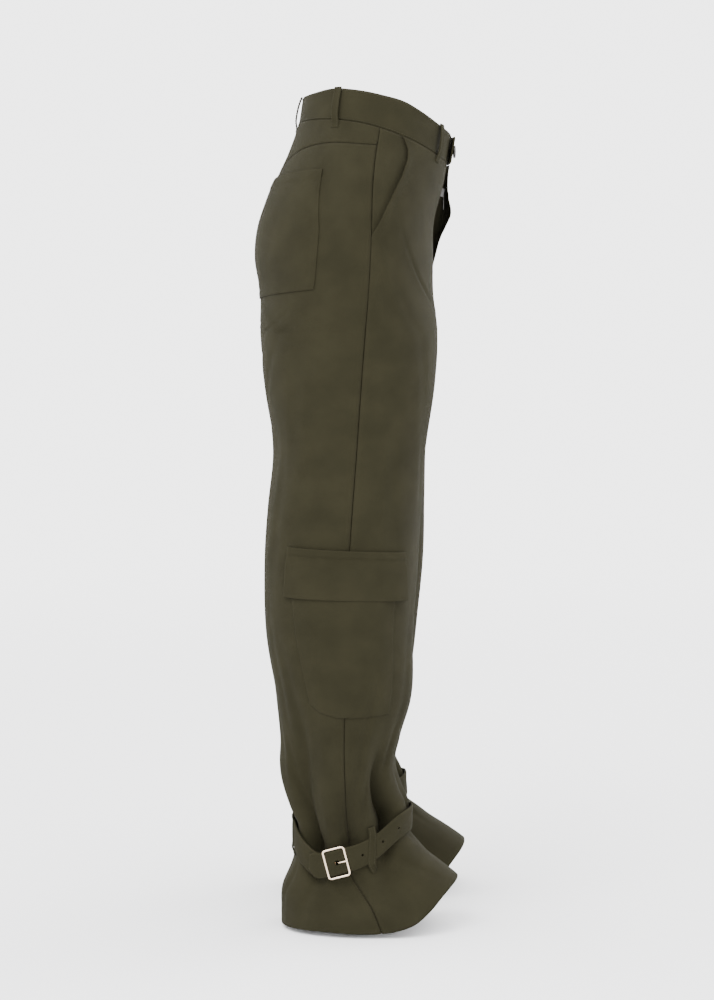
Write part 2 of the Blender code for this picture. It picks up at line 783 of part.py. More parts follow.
def build_strap(side, left, leg, finishes, collection):
    """The ankle strap with its eyelets, buckle and carriers."""
    olive, metal = finishes
    rows = (STRAP_LEVEL + STRAP_HALF_WIDTH, STRAP_LEVEL, STRAP_LEVEL - STRAP_HALF_WIDTH)
    ring = leg_sheet(left, folded=False)
    start, end = STRAP_START, STRAP_TIP
    columns = [start, *[c for c in COLUMNS if c > start + 0.01]]
    columns += [1.0 + c for c in COLUMNS[1:] if c < end - 1.0 - 0.008]
    columns += [1.515, 1.540, 1.560, 1.590, end]
    columns = sorted(set(round(c, 4) for c in columns))
    turns = [c if c <= 1.0 else c - 1.0 for c in columns]
    points = np.array([[ring.read(turn, row)[0] for turn in turns] for row in rows])
    band = Sheet(points, columns, rows, STRAP_FLAT, -1.0 if left else 1.0)

    def lift(around, _level=0.0):
        stops, lifts = zip(*STRAP_END)
        return STRAP_CLEARANCE + float(np.interp(around, stops, lifts))

    def top(around, _level=0.0):
        return lift(around) + DOUBLE

    def hole(around, size):
        across, along = size[0] / STRAP_FLAT, size[1]
        turns = [2 * math.pi * k / HOLE_SIDES for k in range(HOLE_SIDES)]
        return [(around + across * math.cos(t), STRAP_LEVEL + along * math.sin(t)) for t in turns]

    low, high = STRAP_LEVEL - STRAP_HALF_WIDTH, STRAP_LEVEL + STRAP_HALF_WIDTH
    cut = STRAP_CHAMFER / STRAP_FLAT
    outline = [
        (start, low), (end - cut, low), (end, low + STRAP_CHAMFER),
        (end, high - STRAP_CHAMFER), (end - cut, high), (start, high),
    ]  # fmt: skip
    sizes = [PRONG_HOLE, *[ROUND_HOLE] * (len(EYELETS) - 1)]
    holes = [hole(1.0 + eyelet, inner) for eyelet, (inner, _) in zip(EYELETS, sizes)]
    piece(f"ankle_strap_{side}", band, outline, lift, top, olive, collection, holes)

    for k, (eyelet, (inner, outer)) in enumerate(zip(EYELETS, sizes)):

        def read(across, along, around=1.0 + eyelet):
            turn = around + across / STRAP_FLAT
            point, normal = band.read(turn, STRAP_LEVEL + along)
            return point + normal * (top(turn) + SEAM_GAP), normal

        washer(
            f"eyelet_{k + 1}_{side}", read, inner, outer,
            EYELET_THICKNESS, metal, collection,
        )  # fmt: skip

    # The buckle's two long bars stand over the strap, and its frame lies flat between them.
    bars = []
    for turn, stand in zip((-BUCKLE_REACH, BUCKLE_REACH), BUCKLE_STANDS):
        point, normal = band.read(1.0 + BUCKLE_AROUND + turn, STRAP_LEVEL)
        bars.append(point + normal * stand)
    front_bar, back_bar = bars
    _, normal = band.read(1.0 + BUCKLE_AROUND, STRAP_LEVEL)
    across = Vector(back_bar - front_bar)
    reach = across.length / 2
    across.normalize()
    out = Vector(normal)
    out = (out - across * out.dot(across)).normalized()
    along = out.cross(across).normalized()
    middle = Vector((front_bar + back_bar) / 2)

    def at(e_across, e_along, e_out):
        return middle + across * e_across + along * e_along + out * e_out

    corner = BUCKLE_CORNER
    frame = []
    for sx, sz, first in ((1, 1, 0), (-1, 1, 90), (-1, -1, 180), (1, -1, 270)):
        for step in (0, 30, 60, 90):
            turn = math.radians(first + step)
            frame.append(
                at(
                    sx * (reach - corner) + corner * math.cos(turn),
                    sz * (BUCKLE_HALF_HEIGHT - corner) + corner * math.sin(turn),
                    0.0,
                )
            )
    wire(f"buckle_frame_{side}", frame, BUCKLE_WIRE, True, metal, collection)
    # The prong starts under the loose end and goes up through a hole and over the front bar.
    prong = (
        (0.0030, -0.0042),
        (0.0004, -0.0039),
        (-0.0010, -0.0022),
        (-0.0030, 0.0004),
        (-reach + 0.003, 0.0026),
        (-reach - 0.0014, 0.0026),
    )
    path = [at(a, 0.0, n) for a, n in prong]
    wire(f"buckle_prong_{side}", path, PRONG_WIRE, False, metal, collection)

    for k, around in enumerate(CARRIERS):
        path, outwards = [], []
        for share in (0.0, 0.07, 0.15, 0.25, 0.4, 0.6, 0.75, 0.85, 0.93, 1.0):
            level = STRAP_LEVEL + mixed(CARRIER_REACH, -CARRIER_REACH, share)
            point, normal = leg.read(around, level)
            over, facing = ring.read(around, level)
            held = SEAM_GAP + LOOP_THICKNESS / 2 + CARRIER_ROOM
            clear = STRAP_CLEARANCE + DOUBLE + CARRIER_ROOM + LOOP_THICKNESS / 2
            arch = float(smoothstep((0.5 - abs(share - 0.5)) / 0.15))
            target = over + facing * clear
            path.append(mixed(point + normal * held, target, arch))
            outwards.append(mixed(normal, facing, arch))
        strip(
            f"strap_carrier_{k + 1}_{side}", path, outwards,
            CARRIER_WIDTH, LOOP_THICKNESS, olive, collection,
        )  # fmt: skip


def build_waistband(left_leg, right_leg, olive, collection):
    """One open ring of doubled cloth. Its left end laps over its right end at the front.

    Returns its sheet, and the (around, left) place of each of its columns after the tab's.
    """
    stops = [(c, True) for c in COLUMNS[:-1]] + [(c, False) for c in reversed(COLUMNS)]
    bottom, top = [], []
    for around, left in stops:
        sheet = left_leg if left else right_leg
        point, _ = sheet.read(around, WAIST_SEAM)
        high, _ = sheet.read(around, ROWS[0])
        bottom.append(point)
        top.append(high)
    bottom, top = np.array(bottom), np.array(top)
    # The tab carries on past the left edge in its own direction.
    step = bottom[0] - bottom[1]
    step = step / np.linalg.norm(step)
    tab = []
    for share in (1.0, 0.5):
        move = step * BAND_TAB * share
        tab.append((bottom[0] + move, top[0] + move))
    low = np.vstack([[t[0] for t in tab], bottom])
    high = np.vstack([[t[1] for t in tab], top])
    # The top edge has a height of its own.
    crown = high.copy()
    for k, point in enumerate(crown):
        crown[k, 2] = through(BAND_TOP, 1, point[1]) - ORIGIN_HEIGHT
    lean = high - low
    share = (crown[:, 2] - low[:, 2]) / np.maximum(lean[:, 2], 1e-4)
    crown[:, :2] = low[:, :2] + lean[:, :2] * np.minimum(share, 2.4)[:, None]
    low[:, 2] += SEAM_GAP
    rows = (1.0, 0.66, 0.33, 0.0)
    points = np.array([mixed(low, crown, r) for r in rows])
    count = points.shape[1]
    columns = np.linspace(0.0, 1.0, count)
    sheet = Sheet(points, columns, rows, 0.72, 1.0)
    middle = points.mean(axis=(0, 1))
    if np.dot(sheet.normals[1, count // 4], points[1, count // 4] - middle) < 0:
        sheet.normals *= -1.0
    outline = [(0.0, 0.0), (1.0, 0.0), (1.0, 1.0), (0.0, 1.0)]
    # The cloth of the doubled band lies on both sides of the seam line.
    piece("waistband", sheet, outline, BAND_FACE - BAND, BAND_FACE, olive, collection)
    return sheet, stops


def build_belt_loop(name, left, around, legs, band, olive, collection):
    """A loop sewn under the band and over its top edge, standing out in between."""
    sheet, stops = band
    leg = legs[left]
    k = min(range(len(stops)), key=lambda n: abs(stops[n][0] - around) + (stops[n][1] != left))
    column = sheet.columns[k + 2]
    path, outwards = [], []
    on_band = BAND_FACE + SEAM_GAP + LOOP_THICKNESS / 2
    level = WAIST_SEAM - LOOP_TUCK
    for share in (0.0, 0.5):
        point, normal = leg.read(min(around, 0.9999), level + share * 0.008)
        path.append(point + normal * (SEAM_GAP + LOOP_THICKNESS / 2 + 0.4 * LOOP_STAND * share))
        outwards.append(normal)
    for share in (0.15, 0.35, 0.55, 0.75, 0.92):
        point, normal = sheet.read(column, share)
        arch = math.sin(math.pi * (0.25 + 0.75 * share)) ** 0.6
        path.append(point + normal * (on_band + LOOP_STAND * arch))
        outwards.append(normal)
    # Over the top edge, where the loop is folded under and stitched down.
    point, normal = sheet.read(column, 1.0)
    path.append(point + normal * on_band + np.array([0.0, 0.0, 0.0012]))
    outwards.append(normal)
    strip(name, path, outwards, LOOP_WIDTH, LOOP_THICKNESS, olive, collection)


def build_fly(right_leg, finishes, collection):
    """The shield and the zip behind the fly, with the slider pulled up."""
    olive, tape_finish, metal = finishes

    # Places are on the right leg's surface, carried on over the centre plane as its mirror image.
    def centre(signed, level):
        point, normal = right_leg.read(abs(signed), level)
        if signed > 0:
            point, normal = point * np.array([-1, 1, 1]), normal * np.array([-1, 1, 1])
        return point, normal

    def strip_of(name, places, rows, low, high, finish):
        points = np.array([[centre(c, r)[0] for c in places] for r in rows])
        sheet = Sheet(points, places, rows, FLAT_PERIMETER, 1.0)
        if sheet.normals[0, 0, 1] > 0:
            sheet.normals *= -1.0
        left, right = places[0], places[-1]
        outline = [(left, rows[-1]), (right, rows[-1]), (right, rows[0]), (left, rows[0])]
        return piece(name, sheet, outline, low, high, finish, collection)

    inner = -TWILL - SEAM_GAP
    shield_face = inner - ZIP_TAPE - SEAM_GAP
    strip_of(
        "fly_shield", FLY_SHIELD, FLY_ROWS, shield_face - TWILL, shield_face, olive
    )

    def tape_top(around, _level):
        chain = ZIP_CHAIN[0] < around < ZIP_CHAIN[1]
        return inner + (CHAIN_HEIGHT if chain else 0.0)

    strip_of("zip_tape", ZIP_PLACES, FLY_ROWS[1:], inner - ZIP_TAPE, tape_top, tape_finish)

    # The slider is a channel whose two sides hold the pull's barrel between them.
    point, normal = centre(*SLIDER_PLACE)
    below, _ = centre(SLIDER_PLACE[0], SLIDER_PLACE[1] - 0.016)
    down = Vector(below - point).normalized()
    out = Vector(normal)
    out = (out - down * out.dot(down)).normalized()
    side = out.cross(down).normalized()
    base = Vector(point) + out * (inner + CHAIN_HEIGHT + SLIDER_STAND)
    turned = Matrix((side, out, side.cross(out))).transposed().to_4x4()
    flat_part(
        "zip_slider", [SLIDER_PROFILE], SLIDER_LENGTH,
        Matrix.Translation(base) @ turned, metal, collection,
    )  # fmt: skip

    # The pull hangs straight down from its barrel, which is the axis that it swings on.
    pivot = base + out * PULL_STAND - down * 0.002
    upright = Matrix.Rotation(math.radians(90), 4, "X")
    half = [*PULL_HALF, *[(-x, y) for x, y in reversed(PULL_HALF)]]
    flat_part(
        "zip_pull", [half], PULL_THICKNESS,
        Matrix.Translation(pivot) @ upright, metal, collection,
    )  # fmt: skip


def build_button(sheet, gunmetal, collection):
    """A flat button on the tab of the waistband, about halfway up it."""
    point, normal = sheet.read(sheet.columns[1] * 0.7, 0.45)
    out = Vector(normal)
    middle = Vector(point) + out * (BAND_FACE + 2 * SEAM_GAP + BUTTON_THICKNESS / 2)
    made = bmesh.new()
    bmesh.ops.create_cone(
        made, cap_ends=True, segments=20,
        radius1=BUTTON_RADIUS, radius2=BUTTON_RADIUS, depth=BUTTON_THICKNESS,
    )  # fmt: skip
    made.transform(Matrix.Translation(middle) @ out.to_track_quat("Z", "Y").to_matrix().to_4x4())
    mesh = bpy.data.meshes.new("waist_button")
    made.to_mesh(mesh)
    made.free()
    mesh.materials.append(gunmetal)
    collection.objects.link(bpy.data.objects.new("waist_button", mesh))


def build():
    collection = start_scene()
    olive = material("olive_twill", OLIVE, 0.85)
    champagne = material("champagne_metal", CHAMPAGNE, 0.30, 1.0)
    gunmetal = material("gunmetal", GUNMETAL, 0.35, 1.0)
    tape = material("zip_tape", (0.03, 0.028, 0.018), 0.8)
    legs = {}
    for side, left in (("right", False), ("left", True)):
        legs[left] = build_leg(side, left, olive, collection)
        build_strap(side, left, legs[left], (olive, champagne), collection)
    band = build_waistband(legs[True], legs[False], olive, collection)
    for name, left, around in BELT_LOOPS:
        build_belt_loop(name, left, around, legs, band, olive, collection)
    build_fly(legs[False], (olive, tape, champagne), collection)
    build_button(band[0], gunmetal, collection)


build()
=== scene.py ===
"""Olive wide-leg cargo trousers in their worn shape, with flap pockets and buckled ankle straps."""

import math
import random

import bmesh
import bpy
import numpy as np
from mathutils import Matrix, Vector


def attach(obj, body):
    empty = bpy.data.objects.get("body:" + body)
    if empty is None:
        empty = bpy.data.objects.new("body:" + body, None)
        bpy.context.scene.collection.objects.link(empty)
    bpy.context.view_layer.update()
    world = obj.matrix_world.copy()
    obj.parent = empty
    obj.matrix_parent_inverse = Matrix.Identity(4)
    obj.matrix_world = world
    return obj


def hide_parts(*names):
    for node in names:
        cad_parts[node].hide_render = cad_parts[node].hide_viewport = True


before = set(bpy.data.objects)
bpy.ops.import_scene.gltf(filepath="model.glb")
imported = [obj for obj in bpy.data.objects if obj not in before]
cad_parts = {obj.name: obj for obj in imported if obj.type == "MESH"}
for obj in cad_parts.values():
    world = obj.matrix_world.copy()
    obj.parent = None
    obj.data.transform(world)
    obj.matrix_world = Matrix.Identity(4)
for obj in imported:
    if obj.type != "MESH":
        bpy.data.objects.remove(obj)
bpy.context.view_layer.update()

# The studio.
# A pale seamless floor under an even sky, with one large soft light above the front and a
# weaker one behind, and a long lens at waist height on the wearer's right.
FLOOR = -1.020  # the waist is this far above the floor
CAMERA = (-3.4, 0.0205, 0.82 + FLOOR)
CAMERA_TILT = 4.689
LENS = 93.0
BACKDROP = (0.855, 0.855, 0.860)

camera = bpy.data.objects.new("camera", bpy.data.cameras.new("camera"))
camera.location = CAMERA
camera.rotation_euler = (math.radians(90 - CAMERA_TILT), 0, math.radians(-90))
camera.data.lens = LENS
bpy.context.collection.objects.link(camera)
bpy.context.scene.camera = camera

world = bpy.data.worlds.new("studio")
world.use_nodes = True
world.node_tree.nodes["Background"].inputs["Color"].default_value = (*BACKDROP, 1)
world.node_tree.nodes["Background"].inputs["Strength"].default_value = 4.6
bpy.context.scene.world = world


def soft_light(name, place, size, power):
    """A square soft box that faces the garment's middle."""
    light = bpy.data.lights.new(name, "AREA")
    light.size, light.energy = size, power
    lamp = bpy.data.objects.new(name, light)
    lamp.location = place
    lamp.rotation_euler = (Vector((0, 0, -0.5)) - Vector(place)).to_track_quat("-Z", "Y").to_euler()
    bpy.context.collection.objects.link(lamp)


soft_light("key", (-2.0, 1.2, 2.2), 1.6, 110)
soft_light("fill", (1.5, -2.0, 1.6), 1.6, 50)

floor_mesh = bpy.data.meshes.new("floor")
floor_form = bmesh.new()
bmesh.ops.create_circle(floor_form, cap_ends=True, segments=96, radius=9.0)
floor_form.to_mesh(floor_mesh)
floor = bpy.data.objects.new("floor", floor_mesh)
floor.location.z = FLOOR - 0.0005
bpy.context.collection.objects.link(floor)
floor_finish = bpy.data.materials.new("floor_paper")
floor_finish.use_nodes = True
nodes, links = floor_finish.node_tree.nodes, floor_finish.node_tree.links
paper = nodes["Principled BSDF"]
paper.inputs["Base Color"].default_value = (0.80, 0.80, 0.805, 1)
paper.inputs["Roughness"].default_value = 0.9
paper.inputs["Specular IOR Level"].default_value = 0.1
place_on_floor = nodes.new("ShaderNodeTexCoord")
distance = nodes.new("ShaderNodeVectorMath")
distance.operation = "LENGTH"
fade = nodes.new("ShaderNodeMapRange")
fade.inputs["From Min"].default_value = 0.8
fade.inputs["From Max"].default_value = 4.6
fade.inputs["To Min"].default_value = 1.0
fade.inputs["To Max"].default_value = 0.0
fade.interpolation_type = "SMOOTHERSTEP"
links.new(place_on_floor.outputs["Object"], distance.inputs[0])
links.new(distance.outputs["Value"], fade.inputs["Value"])
links.new(fade.outputs["Result"], paper.inputs["Alpha"])
floor_mesh.materials.append(floor_finish)

# The legs.
# Each leg is one tube of cotton twill that is joined to the other along the rise seam. It is
# drawn in two coordinates: around, from 0 at the fly or inseam over 0.5 at the side seam to 1
# at the back, and level, a nominal height above the floor. All of the pieces are cut from it.
WAIST_SEAM = 1.020
RISE_TOP = 0.900
CROTCH = 0.765
FULL_TUBE = 0.620
STRAP_LEVEL = 0.105
SQUARENESS = 2.35
TWILL = 0.0012
FLAT_PERIMETER = 0.6

# how far the left leg stands ahead of the right one, at each level
STRIDE = (
    (0.000, 0.0180),
    (0.043, 0.0090),
    (0.086, -0.0010),
    (0.120, -0.0040),
    (0.180, -0.0040),
    (0.240, 0.0030),
    (0.300, 0.0030),
    (0.380, 0.0112),
    (0.460, 0.0125),
    (0.540, 0.0090),
    (0.613, 0.0062),
    (0.700, 0.0018),
    (0.765, 0.0),
)

# level, then the places along Y of back, side seam and front, then distances outer and inner
SECTIONS = (
    (1.035, 0.0925, -0.0085, -0.0985, 0.1250, 0.0),
    (1.020, 0.0955, -0.0080, -0.0955, 0.1290, 0.0),
    (0.985, 0.1090, -0.0030, -0.0910, 0.1430, 0.0),
    (0.940, 0.1345, 0.0010, -0.0845, 0.1600, 0.0),
    (0.900, 0.1492, 0.0020, -0.0780, 0.1710, 0.0),
    (0.860, 0.1530, 0.0035, -0.0775, 0.1770, 0.0),
    (0.815, 0.1455, 0.0060, -0.0775, 0.1810, 0.0),
    (0.765, 0.1445, 0.0100, -0.0825, 0.1850, 0.0006),
    (0.700, 0.1385, 0.0150, -0.0785, 0.1900, 0.0030),
    (0.613, 0.1285, 0.0210, -0.0655, 0.1950, 0.0080),
    (0.540, 0.1345, 0.0265, -0.0620, 0.1985, 0.0120),
    (0.460, 0.1377, 0.0315, -0.0580, 0.2010, 0.0160),
    (0.380, 0.1354, 0.0345, -0.0515, 0.2020, 0.0200),
    (0.300, 0.1230, 0.0355, -0.0485, 0.2000, 0.0240),
    (0.240, 0.1177, 0.0365, -0.0335, 0.1950, 0.0280),
    (0.190, 0.1195, 0.0350, -0.0290, 0.1880, 0.0340),
    (0.150, 0.1090, 0.0330, -0.0375, 0.1780, 0.0440),
    (0.124, 0.0985, 0.0300, -0.0465, 0.1680, 0.0600),
    (0.105, 0.0985, 0.0300, -0.0465, 0.1680, 0.0600),
    (0.086, 0.0985, 0.0300, -0.0465, 0.1680, 0.0600),
    (0.062, 0.1050, 0.0180, -0.0580, 0.1740, 0.0550),
    (0.040, 0.1160, 0.0050, -0.0700, 0.1810, 0.0450),
    (0.020, 0.1170, -0.0040, -0.0880, 0.1860, 0.0370),
    (0.000, 0.1170, -0.0110, -0.1090, 0.1890, 0.0300),
)

# around and the height of the middle of the strap
STRAP_HEIGHTS = (
    (0.00, 0.122),
    (0.14, 0.135),
    (0.27, 0.142),
    (0.37, 0.134),
    (0.46, 0.1070),
    (0.50, 0.0975),
    (0.54, 0.0920),
    (0.58, 0.0880),
    (0.64, 0.1000),
    (0.73, 0.1240),
    (0.86, 0.130),
    (1.00, 0.122),
)

# around and the height of the hem, which rides up over the foot at the front
HEM_HEIGHTS = (
    (0.00, 0.002),
    (0.03, 0.002),
    (0.07, 0.010),
    (0.10, 0.023),
    (0.14, 0.042),
    (0.19, 0.056),
    (0.25, 0.063),
    (0.31, 0.060),
    (0.36, 0.049),
    (0.40, 0.032),
    (0.44, 0.016),
    (0.48, 0.008),
    (0.60, 0.006),
    (1.00, 0.002),
)

# pleats gathered by the strap and long drapes: around, width, depth, top, full and foot
FOLDS = (
    (0.400, 0.026, 0.0300, 0.275, 0.118, 0.052),
    (0.500, 0.020, 0.0130, 0.230, 0.125, 0.088),
    (0.605, 0.040, 0.0270, 0.330, 0.130, 0.060),
    (0.505, 0.024, 0.0080, 0.100, 0.068, 0.020),
    (0.425, 0.030, 0.0100, 0.096, 0.062, 0.022),
    (0.740, 0.030, 0.0060, 0.240, 0.112, 0.050),
    (0.835, 0.030, 0.0200, 0.300, 0.112, 0.050),
    (0.940, 0.030, 0.0180, 0.280, 0.112, 0.045),
    (0.050, 0.030, 0.0160, 0.260, 0.112, 0.045),
    (0.165, 0.032, 0.0200, 0.300, 0.112, 0.045),
    (0.270, 0.024, 0.0120, 0.240, 0.112, 0.050),
    (0.700, 0.050, 0.0050, 0.720, 0.610, 0.480),
    (0.300, 0.060, 0.0040, 0.640, 0.480, 0.300),
    (0.120, 0.060, 0.0060, 0.700, 0.450, 0.250),
    (0.880, 0.060, 0.0060, 0.680, 0.430, 0.230),
)

# creases pressed in by wear: around and level of the middle, half length, half width in
# metres, slant in metres around for each metre up, and depth
CREASES = (
    (0.345, 0.690, 0.110, 0.010, 0.25, 0.0016),
    (0.300, 0.610, 0.090, 0.012, 0.10, 0.0018),
    (0.620, 0.640, 0.120, 0.012, -0.15, 0.0020),
    (0.660, 0.560, 0.100, 0.010, -0.05, 0.0022),
    (0.560, 0.590, 0.080, 0.014, 0.12, 0.0012),
    (0.420, 0.560, 0.090, 0.010, 0.05, 0.0013),
    (0.700, 0.700, 0.060, 0.008, -0.60, 0.0020),
    (0.735, 0.735, 0.050, 0.008, -0.80, 0.0022),
    (0.670, 0.330, 0.090, 0.009, 0.12, 0.0024),
    (0.620, 0.300, 0.080, 0.010, 0.20, 0.0022),
    (0.700, 0.250, 0.060, 0.009, 0.30, 0.0026),
    (0.560, 0.240, 0.070, 0.008, 0.05, 0.0018),
    (0.455, 0.255, 0.070, 0.007, -0.12, 0.0024),
    (0.340, 0.300, 0.090, 0.010, -0.15, 0.0026),
    (0.355, 0.220, 0.060, 0.007, -0.20, 0.0030),
    (0.300, 0.200, 0.050, 0.008, -0.10, 0.0030),
    (0.640, 0.205, 0.050, 0.006, 0.35, 0.0030),
    (0.560, 0.180, 0.040, 0.005, 0.15, 0.0020),
    (0.450, 0.180, 0.040, 0.005, -0.25, 0.0022),
    (0.100, 0.690, 0.070, 0.008, 0.90, 0.0024),
    (0.060, 0.720, 0.050, 0.007, 1.20, 0.0022),
    (0.150, 0.640, 0.090, 0.010, 0.55, 0.0018),
    (0.880, 0.715, 0.060, 0.008, -1.00, 0.0026),
    (0.920, 0.690, 0.060, 0.007, -1.30, 0.0024),
    (0.830, 0.660, 0.090, 0.010, -0.60, 0.0020),
    (0.100, 0.350, 0.110, 0.010, 0.10, 0.0022),
    (0.900, 0.330, 0.100, 0.010, -0.12, 0.0024),
    (0.780, 0.420, 0.120, 0.012, 0.06, 0.0020),
    (0.820, 0.270, 0.070, 0.008, 0.22, 0.0026),
    (0.200, 0.280, 0.080, 0.008, -0.18, 0.0026),
    (0.240, 0.420, 0.110, 0.011, -0.08, 0.0018),
    (0.520, 0.050, 0.030, 0.006, 0.50, 0.0030),
    (0.370, 0.050, 0.034, 0.008, 0.60, 0.0034),
    (0.620, 0.045, 0.030, 0.008, -0.30, 0.0026),
    (0.700, 0.050, 0.030, 0.007, -0.20, 0.0024),
    (0.800, 0.045, 0.030, 0.008, 0.30, 0.0028),
    (0.920, 0.050, 0.030, 0.008, -0.30, 0.0026),
    (0.080, 0.050, 0.030, 0.008, 0.20, 0.0028),
    (0.200, 0.050, 0.030, 0.008, -0.20, 0.0026),
    (0.470, 0.840, 0.050, 0.010, 0.40, 0.0010),
    (0.280, 0.830, 0.060, 0.008, 0.85, 0.0014),
    (0.220, 0.800, 0.050, 0.008, 1.10, 0.0016),
    (0.620, 0.790, 0.030, 0.006, 2.20, 0.0014),
    (0.700, 0.780, 0.030, 0.006, 2.60, 0.0018),
)

# the lift and the lap of the left front over the fly, at each level
FLY = (
    (1.040, 0.0042, 0.0100),
    (1.020, 0.0042, 0.0100),
    (0.985, 0.0065, 0.0100),
    (0.950, 0.0130, 0.0100),
    (0.915, 0.0210, 0.0100),
    (0.880, 0.0090, 0.0),
    (0.845, 0.0, 0.0),
    (0.700, 0.0, 0.0),
)
FLY_REACH = 0.055


def smoothstep(share):
    share = np.clip(share, 0.0, 1.0)
    return share * share * (3.0 - 2.0 * share)


def mixed(a, b, share):
    return a + (b - a) * share


def through(table, column, at):
    """Smooth curve through one column of a table, read at values of its first column."""
    rows = np.array(sorted(table))
    x, y = rows[:, 0], rows[:, column]
    slope = np.gradient(y, x)
    at = np.clip(np.asarray(at, float), x[0], x[-1])
    k = np.clip(np.searchsorted(x, at, side="right") - 1, 0, len(x) - 2)
    step = x[k + 1] - x[k]
    t = (at - x[k]) / step
    return (
        (1 + 2 * t) * (1 - t) ** 2 * y[k]
        + t * (1 - t) ** 2 * step * slope[k]
        + t * t * (3 - 2 * t) * y[k + 1]
        - t * t * (1 - t) * step * slope[k + 1]
    )


def envelope(around, level):
    """x and y of the right leg without its folds."""
    closing = np.clip((RISE_TOP - level) / (RISE_TOP - CROTCH), 0.0, 1.0)
    closed = 1.0 - (1.0 - closing**2) ** 0.6
    rounded = smoothstep((RISE_TOP - level) / (RISE_TOP - FULL_TUBE))
    first = 0.5 * math.pi * (1.0 - closed)
    half_way = np.where(around <= 0.5, around, 1.0 - around) * 2.0
    angle = first + (math.pi - first) * half_way
    power = 2.0 / SQUARENESS
    back, seam, front = (through(SECTIONS, n, level) for n in (1, 2, 3))
    outer, inner = through(SECTIONS, 4, level), through(SECTIONS, 5, level)
    centre = rounded * (outer + inner) / 2
    reach_in = (centre - inner * closed) / np.maximum(np.cos(first), 1e-6) ** power
    cosine, sine = np.cos(angle), np.abs(np.sin(angle))
    inwards = np.maximum(cosine, 0.0) ** power * reach_in
    outwards = np.maximum(-cosine, 0.0) ** power * (outer - centre)
    depth = np.where(around <= 0.5, front - seam, back - seam)
    return -(centre - inwards + outwards), seam + depth * sine**power


def fold_depth(around, level):
    depth = np.zeros(np.broadcast(around, level).shape)
    for place, width, most, top, full, foot in FOLDS:
        off = (around - place + 0.5) % 1.0 - 0.5
        fade = np.where(
            level > full, (top - level) / (top - full), (level - foot) / (full - foot)
        )
        depth = depth + most * np.exp(-((off / width) ** 2)) * smoothstep(fade)
    return depth


def crease_depth(around, level, turn):
    """The left leg has the same kinds of creases, turned and moved a little."""
    depth = np.zeros(np.broadcast(around, level).shape)
    for k, (place, middle, length, width, slant, most) in enumerate(CREASES):
        place = place + turn * 0.012 * math.sin(3.1 * k)
        middle = middle + turn * 0.018 * math.cos(2.3 * k)
        off = ((around - place + 0.5) % 1.0 - 0.5) * FLAT_PERIMETER
        up = level - middle
        off = off - slant * up
        ridge = np.exp(-((off / width) ** 2)) - 0.45 * np.exp(-((off / (2.2 * width)) ** 2))
        depth = depth + most * ridge * np.exp(-((up / length) ** 2))
    return depth


def real_heights(around, level, y):
    strap = through(STRAP_HEIGHTS, 1, around) - STRAP_LEVEL
    above = smoothstep((level - 0.900) / (WAIST_SEAM - 0.900))
    by_strap = np.where(
        level > STRAP_LEVEL,
        1.0 - smoothstep((level - STRAP_LEVEL) / 0.19),
        smoothstep(level / STRAP_LEVEL),
    )
    by_hem = 1.0 - smoothstep(level / STRAP_LEVEL)
    waist_dip = 1.0225 + 0.271 * y - 1.83 * y * y - WAIST_SEAM
    hem_rise = through(HEM_HEIGHTS, 1, around)
    return level + above * waist_dip + by_strap * strap + by_hem * hem_rise


def leg_points(around, level, left, folded=True, fly=True):
    """Points of the cloth's outer face as an array of (x, y, z)."""
    around, level = np.broadcast_arrays(np.asarray(around, float), np.asarray(level, float))
    x, y = envelope(around, level)
    before = envelope(np.clip(around - 1e-3, 0, 1), level)
    after = envelope(np.clip(around + 1e-3, 0, 1), level)
    along = np.stack([after[0] - before[0], after[1] - before[1]])
    along = along / np.maximum(np.hypot(*along), 1e-9)
    push = np.zeros(around.shape)
    if folded:
        push = push - fold_depth(around, level) - crease_depth(around, level, 1.0 if left else 0.0)
    if left and fly:
        lift = np.maximum(through(FLY, 1, level), 0.0)
        push = push + lift * np.exp(-((around / FLY_REACH) ** 2))
    z = real_heights(around, level, y) + FLOOR
    x, y = x - along[1] * push, y + along[0] * push
    x = np.minimum(x, -0.00015)
    if left:
        if fly:
            lap = np.maximum(through(FLY, 2, level), 0.0)
            x = x + lap * np.clip(1.0 - around / 0.05, 0.0, 1.0)
        y = y - through(STRIDE, 1, level)
        x = -x
    return np.stack([x, y, z], axis=-1)


def leg_normals(around, level, left, folded=True, fly=True):
    e = 1.5e-3
    kinds = (left, folded, fly)
    across = leg_points(np.clip(around + e, 0, 1), level, *kinds)
    across = across - leg_points(np.clip(around - e, 0, 1), level, *kinds)
    down = leg_points(around, level - e, *kinds) - leg_points(around, level + e, *kinds)
    normal = np.cross(across, down) * (-1.0 if left else 1.0)
    return normal / np.maximum(np.linalg.norm(normal, axis=-1, keepdims=True), 1e-12)


def level_at(around, height):
    """The level whose real height is the one asked for, as an array."""
    around = np.asarray(around, float)
    low, high = np.zeros(around.shape), np.full(around.shape, 1.06)
    for _ in range(30):
        middle = (low + high) / 2
        under = real_heights(around, middle, envelope(around, middle)[1]) < height
        low, high = np.where(under, middle, low), np.where(under, high, middle)
    return (low + high) / 2


def place(y, height):
    """(around, level) of the point on the outer side at a place along Y and a height."""
    around = 0.5
    for _ in range(4):
        level = float(level_at(around, height))
        low, high = (0.25, 0.75) if level < CROTCH else (0.0, 1.0)
        for _ in range(30):
            around = (low + high) / 2
            if envelope(np.array(around), np.array(level))[1] < y:
                low = around
            else:
                high = around
    return around, level


